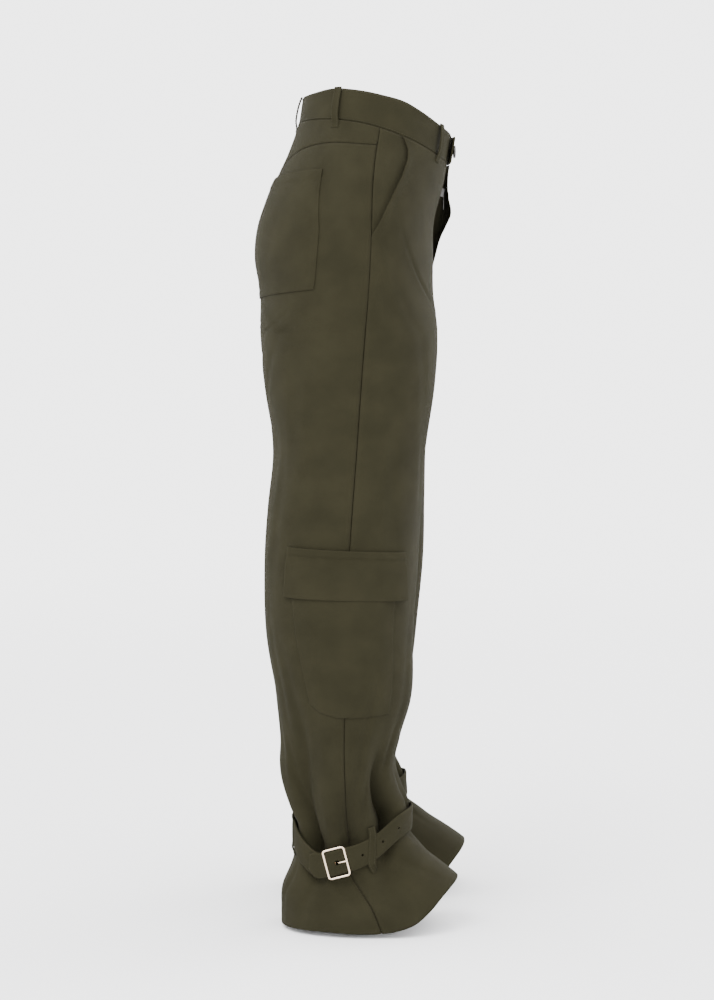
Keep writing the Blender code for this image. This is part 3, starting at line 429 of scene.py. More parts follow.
def grid_object(name, points, flat, thickness, finish):
    """A cloth wall from a grid of points, thickened behind its faces, with its plan as its UV map."""
    rows, columns = points.shape[:2]
    mesh = bpy.data.meshes.new(name)
    corner = np.arange(rows * columns).reshape(rows, columns)
    quads = np.stack(
        [corner[:-1, :-1], corner[1:, :-1], corner[1:, 1:], corner[:-1, 1:]], axis=-1
    ).reshape(-1, 4)
    mesh.from_pydata(points.reshape(-1, 3).tolist(), [], quads.tolist())
    plan = flat.reshape(-1, 2)
    loops = np.zeros(len(mesh.loops), int)
    mesh.loops.foreach_get("vertex_index", loops)
    layer = mesh.uv_layers.new(name="plan")
    layer.data.foreach_set("uv", plan[loops].astype(np.float32).ravel())
    mesh.polygons.foreach_set("use_smooth", [True] * len(mesh.polygons))
    mesh.materials.append(finish)
    piece = bpy.data.objects.new(name, mesh)
    bpy.context.collection.objects.link(piece)
    if thickness:
        wall = piece.modifiers.new("wall", "SOLIDIFY")
        wall.thickness = abs(thickness)
        wall.offset = -1.0 if thickness > 0 else 1.0
    return piece


def leg_patch(name, left, around, level, lift, thickness, finish, folded=True, fly=True):
    """A piece of leg cloth over arrays of places. Its inner face is lifted off the leg's surface."""
    points = leg_points(around, level, left, folded, fly)
    normals = leg_normals(around, level, left, folded, fly)
    points = points + normals * np.broadcast_to(lift, around.shape)[..., None]
    flat = np.stack([around * FLAT_PERIMETER, level], axis=-1)
    # The grid's faces look inwards on both legs once the left one's columns run the other way,
    # so the thickness goes outwards.
    if left:
        points, flat = points[:, ::-1], flat[:, ::-1]
    return grid_object(name, points, flat, thickness, finish)


def add_socket(group, name, kind, default=None, output=False):
    socket = group.interface.new_socket(
        name=name, in_out="OUTPUT" if output else "INPUT", socket_type=kind
    )
    if default is not None:
        socket.default_value = default
    return socket


def math_node(tree, operation, first, second=None, third=None):
    node = tree.nodes.new("ShaderNodeMath")
    node.operation = operation
    for slot, value in zip(node.inputs, (first, second, third)):
        if value is None:
            continue
        if isinstance(value, (int, float)):
            slot.default_value = value
        else:
            tree.links.new(value, slot)
    return node.outputs[0]


def twill_weave():
    """Diagonal ribs of a fine twill, crossed by threads, with slubs and a soft cloudiness."""
    group = bpy.data.node_groups.new("twill weave", "ShaderNodeTree")
    add_socket(group, "Plan", "NodeSocketVector")
    add_socket(group, "Rib", "NodeSocketFloat", 0.0009)
    add_socket(group, "Height", "NodeSocketFloat", output=True)
    add_socket(group, "Shade", "NodeSocketFloat", output=True)
    inward, outward = group.nodes.new("NodeGroupInput"), group.nodes.new("NodeGroupOutput")
    parts = group.nodes.new("ShaderNodeSeparateXYZ")
    group.links.new(inward.outputs["Plan"], parts.inputs[0])
    u, v = parts.outputs["X"], parts.outputs["Y"]
    waver = group.nodes.new("ShaderNodeTexNoise")
    waver.inputs["Scale"].default_value = 160.0
    waver.inputs["Detail"].default_value = 2.0
    group.links.new(inward.outputs["Plan"], waver.inputs["Vector"])
    diagonal = math_node(group, "MULTIPLY_ADD", v, 0.62, u)
    turns = math_node(group, "DIVIDE", diagonal, inward.outputs["Rib"])
    turns = math_node(group, "MULTIPLY_ADD", waver.outputs["Fac"], 1.2, turns)
    rib = math_node(group, "SINE", math_node(group, "MULTIPLY", turns, 2 * math.pi))
    threads = math_node(group, "DIVIDE", v, 0.00055)
    thread = math_node(group, "SINE", math_node(group, "MULTIPLY", threads, 2 * math.pi))
    woven = math_node(group, "MULTIPLY_ADD", thread, 0.35, rib)
    slub = group.nodes.new("ShaderNodeTexNoise")
    slub.inputs["Scale"].default_value = 900.0
    slub.inputs["Detail"].default_value = 3.0
    group.links.new(inward.outputs["Plan"], slub.inputs["Vector"])
    height = math_node(group, "MULTIPLY_ADD", slub.outputs["Fac"], 0.9, woven)
    group.links.new(height, outward.inputs["Height"])
    cloud = group.nodes.new("ShaderNodeTexNoise")
    cloud.inputs["Scale"].default_value = 22.0
    cloud.inputs["Detail"].default_value = 5.0
    group.links.new(inward.outputs["Plan"], cloud.inputs["Vector"])
    shade = math_node(group, "MULTIPLY_ADD", woven, 0.10, cloud.outputs["Fac"])
    group.links.new(shade, outward.inputs["Shade"])
    return group


weave = twill_weave()


def twill(name, deep, light, wear_and_highlight=0.35, bump=0.5):
    """Cotton twill: two tones of olive, paler on edges and fold ridges, partly edge wear and partly a painted
    highlight.
    """
    finish = bpy.data.materials.new(name)
    finish.use_nodes = True
    tree = finish.node_tree
    cloth = tree.nodes["Principled BSDF"]
    cloth.inputs["Roughness"].default_value = 0.92
    cloth.inputs["Specular IOR Level"].default_value = 0.05
    cloth.inputs["Sheen Weight"].default_value = 0.01
    cloth.inputs["Sheen Roughness"].default_value = 0.5
    cloth.inputs["Sheen Tint"].default_value = (0.75, 0.72, 0.60, 1)
    plan = tree.nodes.new("ShaderNodeUVMap")
    plan.uv_map = "plan"
    woven = tree.nodes.new("ShaderNodeGroup")
    woven.node_tree = weave
    tree.links.new(plan.outputs["UV"], woven.inputs["Plan"])
    tone = tree.nodes.new("ShaderNodeMapRange")
    tone.inputs["From Min"].default_value = 0.30
    tone.inputs["From Max"].default_value = 0.72
    tree.links.new(woven.outputs["Shade"], tone.inputs["Value"])
    mix = tree.nodes.new("ShaderNodeMix")
    mix.data_type = "RGBA"
    mix.inputs["A"].default_value = (*deep, 1)
    mix.inputs["B"].default_value = (*light, 1)
    tree.links.new(tone.outputs["Result"], mix.inputs["Factor"])
    # Convex edges and fold ridges are made paler from the mesh's pointiness: worn edges, and a painted
    # highlight on the ridges.
    convexity = tree.nodes.new("ShaderNodeNewGeometry")
    edge = tree.nodes.new("ShaderNodeMapRange")
    edge.inputs["From Min"].default_value = 0.52
    edge.inputs["From Max"].default_value = 0.66
    edge.inputs["To Max"].default_value = wear_and_highlight
    tree.links.new(convexity.outputs["Pointiness"], edge.inputs["Value"])
    paler = tree.nodes.new("ShaderNodeMix")
    paler.data_type = "RGBA"
    paler.inputs["B"].default_value = (light[0] * 1.5, light[1] * 1.5, light[2] * 1.5, 1)
    tree.links.new(mix.outputs["Result"], paler.inputs["A"])
    tree.links.new(edge.outputs["Result"], paler.inputs["Factor"])
    tree.links.new(paler.outputs["Result"], cloth.inputs["Base Color"])
    raised = tree.nodes.new("ShaderNodeBump")
    raised.inputs["Strength"].default_value = bump
    raised.inputs["Distance"].default_value = 0.00025
    tree.links.new(woven.outputs["Height"], raised.inputs["Height"])
    tree.links.new(raised.outputs["Normal"], cloth.inputs["Normal"])
    return finish


OLIVE_DEEP = (0.0132, 0.0121, 0.0062)
OLIVE_LIGHT = (0.0178, 0.0163, 0.0086)
leg_cloth = twill("leg_twill", OLIVE_DEEP, OLIVE_LIGHT)

SIDES = (("right", False), ("left", True))
SEAM_GAP = 0.0003
EDGE = 0.0004

# the pocket mouth's edge, as places along Y and heights
POCKET_MOUTH = (
    (-0.0383, 1.030),
    (-0.0425, 0.993),
    (-0.0415, 0.980),
    (-0.0334, 0.957),
    (-0.0209, 0.930),
    (-0.0084, 0.903),
    (0.0017, 0.886),
)
mouth = [place(y, height) for y, height in POCKET_MOUTH]
mouth_levels = np.array([level for _, level in mouth])
mouth_levels[0] = WAIST_SEAM
mouth_around = np.array([around for around, _ in mouth])
mouth_around[-1] = 0.5 - EDGE
mouth_foot = mouth_levels[-1]


def mouth_at(level):
    """How far round the pocket's mouth is at each level."""
    order = np.argsort(mouth_levels)
    return np.interp(level, mouth_levels[order], mouth_around[order])


# The front panels.
# Each runs from the waist to the hem. A slanted pocket mouth is cut from its top corner, and
# its edge stands a little open. The seams pull the cloth down along both sides.
FRONT_ROWS, FRONT_COLUMNS = 300, 84


def mouth_gape(level, inset):
    """How far the pocket mouth's edge stands open, at a distance in metres behind the edge."""
    along = np.clip((level - mouth_foot) / (WAIST_SEAM - mouth_foot), 0.0, 1.0)
    return 0.0036 * np.sin(math.pi * along) ** 0.8 * np.exp(-((inset / 0.016) ** 2))


def seam_pull(around, level):
    """A seam draws the cloth in, with small uneven puckers along it."""
    pull = np.zeros(np.broadcast(around, level).shape)
    for seam in (0.0, 0.5, 1.0):
        off = np.abs(around - seam) * FLAT_PERIMETER
        pucker = 0.5 + 0.5 * np.sin(level * 310 + 4 * np.sin(level * 57) + seam * 9)
        pull = pull + (0.0006 + 0.0005 * pucker) * np.exp(-((off / 0.0045) ** 2))
    return -pull


for side, left in SIDES:
    level = np.linspace(WAIST_SEAM, 0.0, FRONT_ROWS)[:, None]
    across = np.linspace(0.0, 1.0, FRONT_COLUMNS)[None, :]
    outer = np.where(level > mouth_foot, mouth_at(level), 0.5 - EDGE)
    around = mixed(EDGE, outer, across)
    level = np.broadcast_to(level, around.shape)
    inset = (mouth_at(level) - around) * FLAT_PERIMETER
    gape = mouth_gape(level, inset) * (level > mouth_foot)
    panel = leg_patch(
        f"front_panel_{side}", left, around, level, gape + seam_pull(around, level), TWILL, leg_cloth
    )
    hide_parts(f"front_{side}")
    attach(panel, "trousers")

# The back panels and yokes.
# The yoke is a shallow shaped piece between the waistband and the back panel, and its seam
# falls from the side to the centre back.
YOKE_SEAM = ((0.0, 0.999), (0.35, 1.002), (0.7, 0.990), (1.0, 0.964))
BACK_ROWS, BACK_COLUMNS, YOKE_ROWS = 300, 84, 14


def yoke_seam_at(around):
    share = (around - 0.5) / 0.5
    return level_at(around, through(YOKE_SEAM, 1, share))


for side, left in SIDES:
    around = np.linspace(0.5 + EDGE, 1.0 - EDGE, BACK_COLUMNS)[None, :]
    seam = yoke_seam_at(around)
    share = np.linspace(1.0, 0.0, BACK_ROWS)[:, None]
    level = share * (seam - 0.0003)
    around_grid = np.broadcast_to(around, level.shape)
    off = (seam - level) / 0.004
    pull = seam_pull(around_grid, level) - 0.0006 * np.exp(-(off**2))
    panel = leg_patch(f"back_panel_{side}", left, around_grid, level, pull, TWILL, leg_cloth)
    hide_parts(f"back_{side}")
    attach(panel, "trousers")

    share = np.linspace(1.0, 0.0, YOKE_ROWS)[:, None]
    level = mixed(seam + 0.0003, WAIST_SEAM, share)
    around_grid = np.broadcast_to(around, level.shape)
    off = (level - seam) / 0.004
    pull = seam_pull(around_grid, level) - 0.0005 * np.exp(-(off**2)) + 0.0003
    yoke = leg_patch(f"back_yoke_{side}", left, around_grid, level, pull, TWILL, leg_cloth)
    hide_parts(f"yoke_{side}")
    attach(yoke, "trousers")

# The pocket facings.
# A piece of the same twill shows inside each slanted mouth. It starts under the front panel
# and comes level with the back at the side seam.
for side, left in SIDES:
    level = np.linspace(WAIST_SEAM, mouth_foot - 0.012, 40)[:, None]
    across = np.linspace(0.0, 1.0, 24)[None, :]
    under = np.minimum(mouth_at(level) - 0.035, 0.5 - 0.02)
    around = mixed(under, 0.5 - EDGE, across)
    level = np.broadcast_to(level, around.shape)
    past = np.maximum(around - mouth_at(level), 0.0) * FLAT_PERIMETER
    sunk = -(TWILL + 2 * SEAM_GAP) * (1.0 - smoothstep(past / 0.02))
    facing = leg_patch(f"pocket_back_{side}", left, around, level, sunk, TWILL, leg_cloth)
    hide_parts(f"pocket_facing_{side}")
    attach(facing, "trousers")

# The waistband.
# A doubled straight band, open at the front, where its left end laps over the right one and
# carries the button. It is stitched along both edges.
BAND = 0.0026
BAND_FACE = 0.0006
BAND_TAB, TAB_STEPS = 0.024, 10
BAND_TOP = (
    (-0.1040, 1.0150),
    (-0.0850, 1.0260),
    (-0.0580, 1.0434),
    (-0.0400, 1.0536),
    (-0.0125, 1.0620),
    (0.0100, 1.0670),
    (0.0324, 1.0703),
    (0.0482, 1.0718),
    (0.0616, 1.0708),
    (0.0740, 1.0685),
    (0.0870, 1.0665),
)
BAND_ROWS, BAND_STEPS = 22, 150


def band_edges():
    """The lower and upper edges of the band, from its tab round to its right end."""
    stops = np.linspace(0.0, 1.0, BAND_STEPS)
    low, high = [], []
    for left, order in ((True, stops[:-1]), (False, stops[::-1])):
        low.append(leg_points(order, np.full(order.shape, WAIST_SEAM), left))
        high.append(leg_points(order, np.full(order.shape, 1.040), left))
    low, high = np.vstack(low), np.vstack(high)
    step = low[0] - low[3]
    step = step / np.linalg.norm(step)
    tab_low, tab_high = [], []
    for share in np.linspace(1 / TAB_STEPS, 1.0, TAB_STEPS):
        move = step * BAND_TAB * share
        tab_low.append(low[0] + move)
        tab_high.append(high[0] + move)
    low = np.vstack([tab_low[::-1], low])
    high = np.vstack([tab_high[::-1], high])
    crown = high.copy()
    crown[:, 2] = through(BAND_TOP, 1, high[:, 1]) + FLOOR
    share = (crown[:, 2] - low[:, 2]) / np.maximum(high[:, 2] - low[:, 2], 1e-4)
    lean = (high - low)[:, :2] * np.minimum(share, 2.4)[:, None]
    crown[:, :2] = low[:, :2] + lean
    low[:, 2] += 0.00035
    return low, crown


band_low, band_crown = band_edges()
band_steps = np.linalg.norm(np.diff(band_low, axis=0), axis=1)
band_run = np.concatenate([[0.0], np.cumsum(band_steps)])
band_out = np.stack([np.gradient(band_low[:, 1]), -np.gradient(band_low[:, 0])], axis=-1)
band_out = band_out / np.linalg.norm(band_out, axis=1, keepdims=True)


def on_band(run, up, out):
    """Points at distances along the band, shares of its height and distances off its face."""
    run, up, out = np.broadcast_arrays(run, up, out)
    points = []
    for axis in range(3):
        low = np.interp(run, band_run, band_low[:, axis])
        crown = np.interp(run, band_run, band_crown[:, axis])
        value = mixed(low, crown, up)
        if axis < 2:
            value = value + out * np.interp(run, band_run, band_out[:, axis])
        points.append(value)
    return np.stack(points, axis=-1)


band_length = band_run[-1]
run = np.linspace(0.0, band_length, 420)[None, :]
up = np.linspace(1.0, 0.0, BAND_ROWS)[:, None]
roll = 0.0009 * (1.0 - np.clip(np.minimum(up, 1.0 - up) / 0.10, 0, 1)) ** 2
wave = 0.0007 * np.sin(run * 61 + 2 * np.sin(run * 23)) * np.sin(math.pi * up)
band_points = on_band(run, up, BAND_FACE - roll + wave)
flat = np.stack(np.broadcast_arrays(run, up * 0.042), axis=-1)
band_cloth = twill("band_twill", OLIVE_DEEP, OLIVE_LIGHT, wear_and_highlight=0.5)
band = grid_object("waistband_cloth", band_points, flat, BAND, band_cloth)
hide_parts("waistband")
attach(band, "trousers")

# Topstitching.
# Rows of thread in the cloth's own colour hold every edge down. Each stitch is a short bead of
# thread that sinks into the cloth at both ends.
STITCH, STITCH_GAP, THREAD = 0.0024, 0.0010, 0.00032
# share of a stitch's length, share of the thread's radius, and rise off the cloth
STITCH_FORM = ((0.0, 0.35, -0.2), (0.25, 1.0, 0.55), (0.75, 1.0, 0.55), (1.0, 0.35, -0.2))
thread_finish = bpy.data.materials.new("olive_thread")
thread_finish.use_nodes = True
tree = thread_finish.node_tree
spun = tree.nodes["Principled BSDF"]
spun.inputs["Roughness"].default_value = 0.6
spun.inputs["Specular IOR Level"].default_value = 0.1
twist = tree.nodes.new("ShaderNodeTexNoise")
twist.inputs["Scale"].default_value = 2500.0
tones = tree.nodes.new("ShaderNodeMix")
tones.data_type = "RGBA"
tones.inputs["A"].default_value = (0.016, 0.015, 0.008, 1)
tones.inputs["B"].default_value = (0.030, 0.028, 0.015, 1)
tree.links.new(twist.outputs["Fac"], tones.inputs["Factor"])
tree.links.new(tones.outputs["Result"], spun.inputs["Base Color"])

stitch_random = random.Random(7)


def stitch_row(points, normals):
    """Beads of thread along a line of points, as (verts, faces), five corners a ring."""
    points, normals = np.asarray(points), np.asarray(normals)
    steps = np.linalg.norm(np.diff(points, axis=0), axis=1)
    run = np.concatenate([[0.0], np.cumsum(steps)])
    if run[-1] < STITCH:
        return [], []

    def read(grid, at):
        return np.array([np.interp(at, run, grid[:, axis]) for axis in range(3)])

    verts, faces = [], []
    at = STITCH_GAP
    while at + STITCH < run[-1]:
        length = STITCH * stitch_random.uniform(0.92, 1.06)
        rings = []
        for share, size, rise in STITCH_FORM:
            middle, out = read(points, at + share * length), read(normals, at + share * length)
            ahead = read(points, at + share * length + 2e-4) - middle
            ahead = ahead / max(np.linalg.norm(ahead), 1e-12)
            out = out / max(np.linalg.norm(out), 1e-12)
            side = np.cross(out, ahead)
            middle = middle + out * THREAD * rise
            rings.append([
                middle + (side * math.cos(t) + out * math.sin(t)) * THREAD * size
                for t in (0.0, 1.26, 2.51, 3.77, 5.03)
            ])
        first = len(verts)
        for ring in rings:
            verts += ring
        for k in range(3):
            for j in range(5):
                a, b = first + k * 5 + j, first + k * 5 + (j + 1) % 5
                faces.append((a, b, b + 5, a + 5))
        faces.append(tuple(first + j for j in range(4, -1, -1)))
        faces.append(tuple(first + 15 + j for j in range(5)))
        at += length + STITCH_GAP
    return verts, faces


def stitching(name, rows, on):
    """One object of all of a piece's stitch rows, which goes wherever the piece goes."""
    verts, faces = [], []
    for points, normals in rows:
        new_verts, new_faces = stitch_row(points, normals)
        faces += [tuple(k + len(verts) for k in face) for face in new_faces]
        verts += new_verts
    mesh = bpy.data.meshes.new(name)
    mesh.from_pydata([tuple(v) for v in verts], [], faces)
    mesh.polygons.foreach_set("use_smooth", [True] * len(mesh.polygons))
    mesh.materials.append(thread_finish)
    thread = bpy.data.objects.new(name, mesh)
    bpy.context.collection.objects.link(thread)
    thread.parent = on
    return thread


def leg_row(left, around, level, lift):
    """A stitch line over the leg cloth, through arrays of places."""
    around, level = np.asarray(around, float), np.asarray(level, float)
    points, normals = leg_points(around, level, left), leg_normals(around, level, left)
    lift = np.broadcast_to(lift, around.shape)[:, None]
    return points + normals * lift, normals


for side, left in SIDES:
    panel = bpy.data.objects[f"front_panel_{side}"]
    rows = []
    # Two rows along the pocket mouth.
    for inset in (0.0020, 0.0080):
        level = np.linspace(WAIST_SEAM - 0.001, mouth_foot + 0.004, 60)
        places = mouth_at(level) - inset / FLAT_PERIMETER
        rows.append(leg_row(left, places, level, mouth_gape(level, inset)))
    # The hem, turned up and stitched at 35 mm.
    around = np.linspace(EDGE, 0.5 - EDGE, 140)
    rows.append(leg_row(left, around, np.full(around.shape, 0.033), 0.0))
    # The rise seam.
    if not left:
        level = np.linspace(0.875, CROTCH + 0.01, 50)
        rows.append(leg_row(left, np.full(level.shape, 0.0035), level, 0.0))
    else:
        # The fly's curved double row.
        for reach in (0.030, 0.037):
            turn = np.linspace(0.0, 0.5 * math.pi, 20)
            straight = np.linspace(WAIST_SEAM - 0.002, 0.895, 50)
            level = np.concatenate([straight, 0.895 - 0.030 * np.sin(turn)])
            around = np.concatenate([np.full(50, reach), 0.004 + (reach - 0.004) * np.cos(turn)])
            rows.append(leg_row(left, around, level, 0.0))
        level = np.linspace(0.862, CROTCH + 0.01, 46)
        rows.append(leg_row(left, np.full(level.shape, 0.0035), level, 0.0))
    stitching(f"front_stitches_{side}", rows, panel)

    panel = bpy.data.objects[f"back_panel_{side}"]
    around = np.linspace(0.5 + EDGE, 1.0 - EDGE, 140)
    rows = [leg_row(left, around, np.full(around.shape, 0.033), 0.0)]
    level = np.linspace(0.950, CROTCH + 0.01, 80)
    rows.append(leg_row(left, np.full(level.shape, 0.9965), level, 0.0))
    stitching(f"back_stitches_{side}", rows, panel)
    yoke = bpy.data.objects[f"back_yoke_{side}"]
    seam = yoke_seam_at(around)
    rows = [leg_row(left, around, seam + up, 0.0003) for up in (0.0022, 0.0075)]
    stitching(f"yoke_stitches_{side}", rows, yoke)

run = np.linspace(0.002, band_length - 0.002, 400)
rows = []
for up in (0.065, 0.935):
    points = on_band(run, np.full(run.shape, up), BAND_FACE)
    normals = on_band(run, np.full(run.shape, up), BAND_FACE + 0.001) - points
    rows.append((points, normals / 0.001))
stitching("waistband_stitches", rows, band)

# The back pockets.
# Each is a patch of twill with a doubled hem along its mouth, stitched down on three sides. It
# swells a little between its edges.
BACK_POCKET = ((0.0625, 0.968), (0.0672, 0.893), (0.0740, 0.818))
BACK_POCKET_FAR = ((-0.032, 0.957), (-0.038, 0.806))


def place_behind(x, height):
    """(around, level) of the point of the seat at a distance from the centre plane."""
    around = 0.9
    for _ in range(4):
        level = float(level_at(around, height))
        low, high = 0.70, 1.0
        for _ in range(30):
            around = (low + high) / 2
            if envelope(np.array(around), np.array(level))[0] < x:
                low = around
            else:
                high = around
    return around, level


def between_lines(start, end, across, down):
    """Places between two lines of places: across goes from the first to the second."""
    found = []
    for line in (start, end):
        line = np.array(line)
        share = np.linspace(0.0, 1.0, len(line))
        found.append([np.interp(down, share, line[:, axis]) for axis in (0, 1)])
    around = mixed(found[0][0], found[1][0], across)
    return around, mixed(found[0][1], found[1][1], across)


def three_sides(edge, top, foot, counts):
    """A stitch line down one side of a patch, along its foot and up its other side."""
    side, base = counts
    across = np.concatenate([np.full(side, edge), np.linspace(edge, 1 - edge, base), np.full(side, 1 - edge)])
    down = np.concatenate([np.linspace(top, foot, side), np.full(base, foot), np.linspace(foot, top, side)])
    return across, down


def sewn_patch(across, down, inner, swell, hem=0.0, hem_share=0.06):
    """Lift of a patch: held down at its border, swelling inside, doubled along its mouth."""
    border = np.minimum(np.minimum(across, 1.0 - across), 1.0 - down)
    lift = inner + TWILL + swell * smoothstep(border / 0.22)
    doubled = hem * (1.0 - smoothstep((down - hem_share) / 0.012))
    return lift + doubled - 0.0004 * np.exp(-((border / 0.02) ** 2))


pocket_near = [place(y, height) for y, height in BACK_POCKET]
pocket_far = [place_behind(x, height) for x, height in BACK_POCKET_FAR]
for side, left in SIDES:
    across, down = np.meshgrid(np.linspace(0, 1, 70), np.linspace(0, 1, 76))
    around, level = between_lines(pocket_near, pocket_far, across, down)
    lift = sewn_patch(across, down, SEAM_GAP, 0.0016, 0.0008)
    pocket = leg_patch(f"seat_pocket_{side}", left, around, level, lift, TWILL, leg_cloth)
    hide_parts(f"back_pocket_{side}")
    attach(pocket, "trousers")
    rows = []
    hem_line = np.linspace(0.005, 0.995, 60)
    for a, d in (
        three_sides(0.016, 0.01, 1 - 0.016, (40, 40)),
        (hem_line, np.full(60, 0.055)),
        (hem_line, np.full(60, 0.018)),
    ):
        around, level = between_lines(pocket_near, pocket_far, a, d)
        rows.append(leg_row(left, around, level, sewn_patch(a, d, SEAM_GAP, 0.0016, 0.0008)))
    stitching(f"seat_pocket_stitches_{side}", rows, pocket)

# The cargo pockets.
# A wide patch with rounded lower corners lies over each side seam above the knee's level, and
# a separate flap is folded down over its mouth.
CARGO_FRONT = ((-0.0270, 0.452), (-0.0235, 0.360), (-0.0184, 0.287))
CARGO_BACK = ((0.1030, 0.452), (0.0950, 0.380), (0.0795, 0.301))
CARGO_FOOT = ((-0.0184, 0.287), (0.0200, 0.2835), (0.0456, 0.284), (0.0655, 0.290), (0.0795, 0.301))
FLAP = 0.0018
CARGO_FLAP = ((-0.0382, 0.490), (-0.0395, 0.429), (0.1054, 0.497), (0.1093, 0.434))
cargo_front = [place(y, height) for y, height in CARGO_FRONT]
cargo_back = [place(y, height) for y, height in CARGO_BACK]
cargo_foot = np.array([place(y, height) for y, height in CARGO_FOOT])
flap_corners = [place(y, height) for y, height in CARGO_FLAP]


def cargo_places(across, down):
    """Places on the cargo pocket, whose foot is rounded at both corners."""
    around, level = between_lines(cargo_front, cargo_back, across, down)
    straight = mixed(cargo_front[-1][1], cargo_back[-1][1], across)
    foot_around = mixed(cargo_front[-1][0], cargo_back[-1][0], across)
    curved = np.interp(foot_around, cargo_foot[:, 0], cargo_foot[:, 1])
    return around, level + (curved - straight) * down**3


def flap_lift(across, down):
    """The flap is flat where it is sewn, then bends out over the pocket's mouth."""
    out = SEAM_GAP + 0.0030 * smoothstep((down - 0.10) / 0.30) + TWILL
    ridge = 0.0011 * (1.0 - smoothstep((down - 0.13) / 0.03))
    wave = 0.0008 * np.sin(across * 9 + 1) * smoothstep((down - 0.4) / 0.6)
    return out + ridge + wave


for side, left in SIDES:
    across, down = np.meshgrid(np.linspace(0, 1, 76), np.linspace(0, 1, 90))
    around, level = cargo_places(across, down)
    lift = sewn_patch(across, down, SEAM_GAP, 0.0022)
    pocket = leg_patch(f"cargo_patch_{side}", left, around, level, lift, TWILL, leg_cloth)
    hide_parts(f"cargo_pocket_{side}")
    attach(pocket, "trousers")
    rows = []
    sides = np.linspace(0.05, 0.988, 50)
    foot = np.linspace(0.014, 0.986, 50)
    for a, d in (
        (np.full(50, 0.014), sides),
        (np.full(50, 0.986), sides),
        (foot, np.full(50, 0.988)),
        (foot, np.full(50, 0.948)),
    ):
        around, level = cargo_places(a, d)
        rows.append(leg_row(left, around, level, sewn_patch(a, d, SEAM_GAP, 0.0022)))
    stitching(f"cargo_patch_stitches_{side}", rows, pocket)

    across, down = np.meshgrid(np.linspace(0, 1, 76), np.linspace(0, 1, 40))
    around, level = between_lines(flap_corners[:2], flap_corners[2:], across, down)
    flap = leg_patch(
        f"cargo_flap_cloth_{side}", left, around, level, flap_lift(across, down), FLAP, leg_cloth
    )
    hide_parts(f"cargo_flap_{side}")
    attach(flap, "trousers")
    rows = []
    line = np.linspace(0.005, 0.995, 60)
    for a, d in (
        three_sides(0.016, 0.02, 0.96, (30, 50)),
        (line, np.full(60, 0.12)),
        (line, np.full(60, 0.03)),
    ):
        around, level = between_lines(flap_corners[:2], flap_corners[2:], a, d)
        rows.append(leg_row(left, around, level, flap_lift(a, d)))
    stitching(f"cargo_flap_stitches_{side}", rows, flap)

# The belt loops.
# Strips of doubled twill with two rows of stitching. Each is caught under the waistband seam,
# stands out over the band, and is folded over the top edge.
LOOP_WIDTH, LOOP_THICKNESS, LOOP_STAND = 0.0105, 0.0018, 0.0036
BELT_LOOPS = (
    ("belt_loop_front_right", False, 0.20),
    ("belt_loop_front_left", True, 0.20),
    ("belt_loop_back_right", False, 0.655),
    ("belt_loop_back_left", True, 0.655),
    ("belt_loop_centre_back", False, 1.00),
)
strap_cloth = twill("strap_twill", OLIVE_DEEP, OLIVE_LIGHT, wear_and_highlight=0.6)


def smooth_line(points, count):
    """A smooth line through a few points, with whatever else each one carries."""
    points = np.asarray(points, float)
    steps = np.linalg.norm(np.diff(points[:, :3], axis=0), axis=1)
    run = np.concatenate([[0.0], np.cumsum(steps)])
    at = np.linspace(0.0, run[-1], count)
    table = np.column_stack([run, points]).tolist()
    return np.column_stack([through(table, axis + 1, at) for axis in range(points.shape[1])])


def woven_strip(name, path, outwards, width, thickness, finish, count=48):
    """A flat strip with rounded edges along a path, and its two stitch rows."""
    line = smooth_line(np.column_stack([path, outwards]), count)
    path, outwards = line[:, :3], line[:, 3:]
    along = np.gradient(path, axis=0)
    along = along / np.linalg.norm(along, axis=1, keepdims=True)
    across = np.cross(along, outwards)
    across = across / np.linalg.norm(across, axis=1, keepdims=True)
    out = np.cross(across, along)
    half, round_edge = width / 2, thickness / 2
    profile = []
    for sign in (1, -1):
        centre = sign * (half - round_edge)
        for turn in np.radians(np.linspace(-90, 90, 7)):
            away = round_edge * math.cos(turn), round_edge * math.sin(turn)
            profile.append((centre + sign * away[0], sign * away[1]))
        profile += [(sign * half * s, sign * round_edge) for s in (0.5, 0.0, -0.5)]
    profile = np.array(profile)
    rings = path[:, None] + across[:, None] * profile[None, :, :1] + out[:, None] * profile[None, :, 1:]
    stations, corners = rings.shape[:2]
    faces = []
    for k in range(stations - 1):
        for j in range(corners):
            a, b = k * corners + j, k * corners + (j + 1) % corners
            faces.append((a, b, b + corners, a + corners))
    faces.append(tuple(range(corners - 1, -1, -1)))
    faces.append(tuple((stations - 1) * corners + j for j in range(corners)))
    mesh = bpy.data.meshes.new(name)
    mesh.from_pydata(rings.reshape(-1, 3).tolist(), [], faces)
    run = np.concatenate([[0.0], np.cumsum(np.linalg.norm(np.diff(path, axis=0), axis=1))])
    plan = np.stack(np.broadcast_arrays(profile[None, :, 0], run[:, None]), axis=-1).reshape(-1, 2)
    loops = np.zeros(len(mesh.loops), int)
    mesh.loops.foreach_get("vertex_index", loops)
    layer = mesh.uv_layers.new(name="plan")
    layer.data.foreach_set("uv", plan[loops].astype(np.float32).ravel())
    mesh.polygons.foreach_set("use_smooth", [True] * len(mesh.polygons))
    mesh.materials.append(finish)
    mesh.update()
    strip = bpy.data.objects.new(name, mesh)
    bpy.context.collection.objects.link(strip)
    form = bmesh.new()
    form.from_mesh(mesh)
    bmesh.ops.recalc_face_normals(form, faces=form.faces)
    form.to_mesh(mesh)
    form.free()
    rows = [(path + across * s * (half - 0.0018) + out * round_edge, out) for s in (-1, 1)]
    return strip, rows


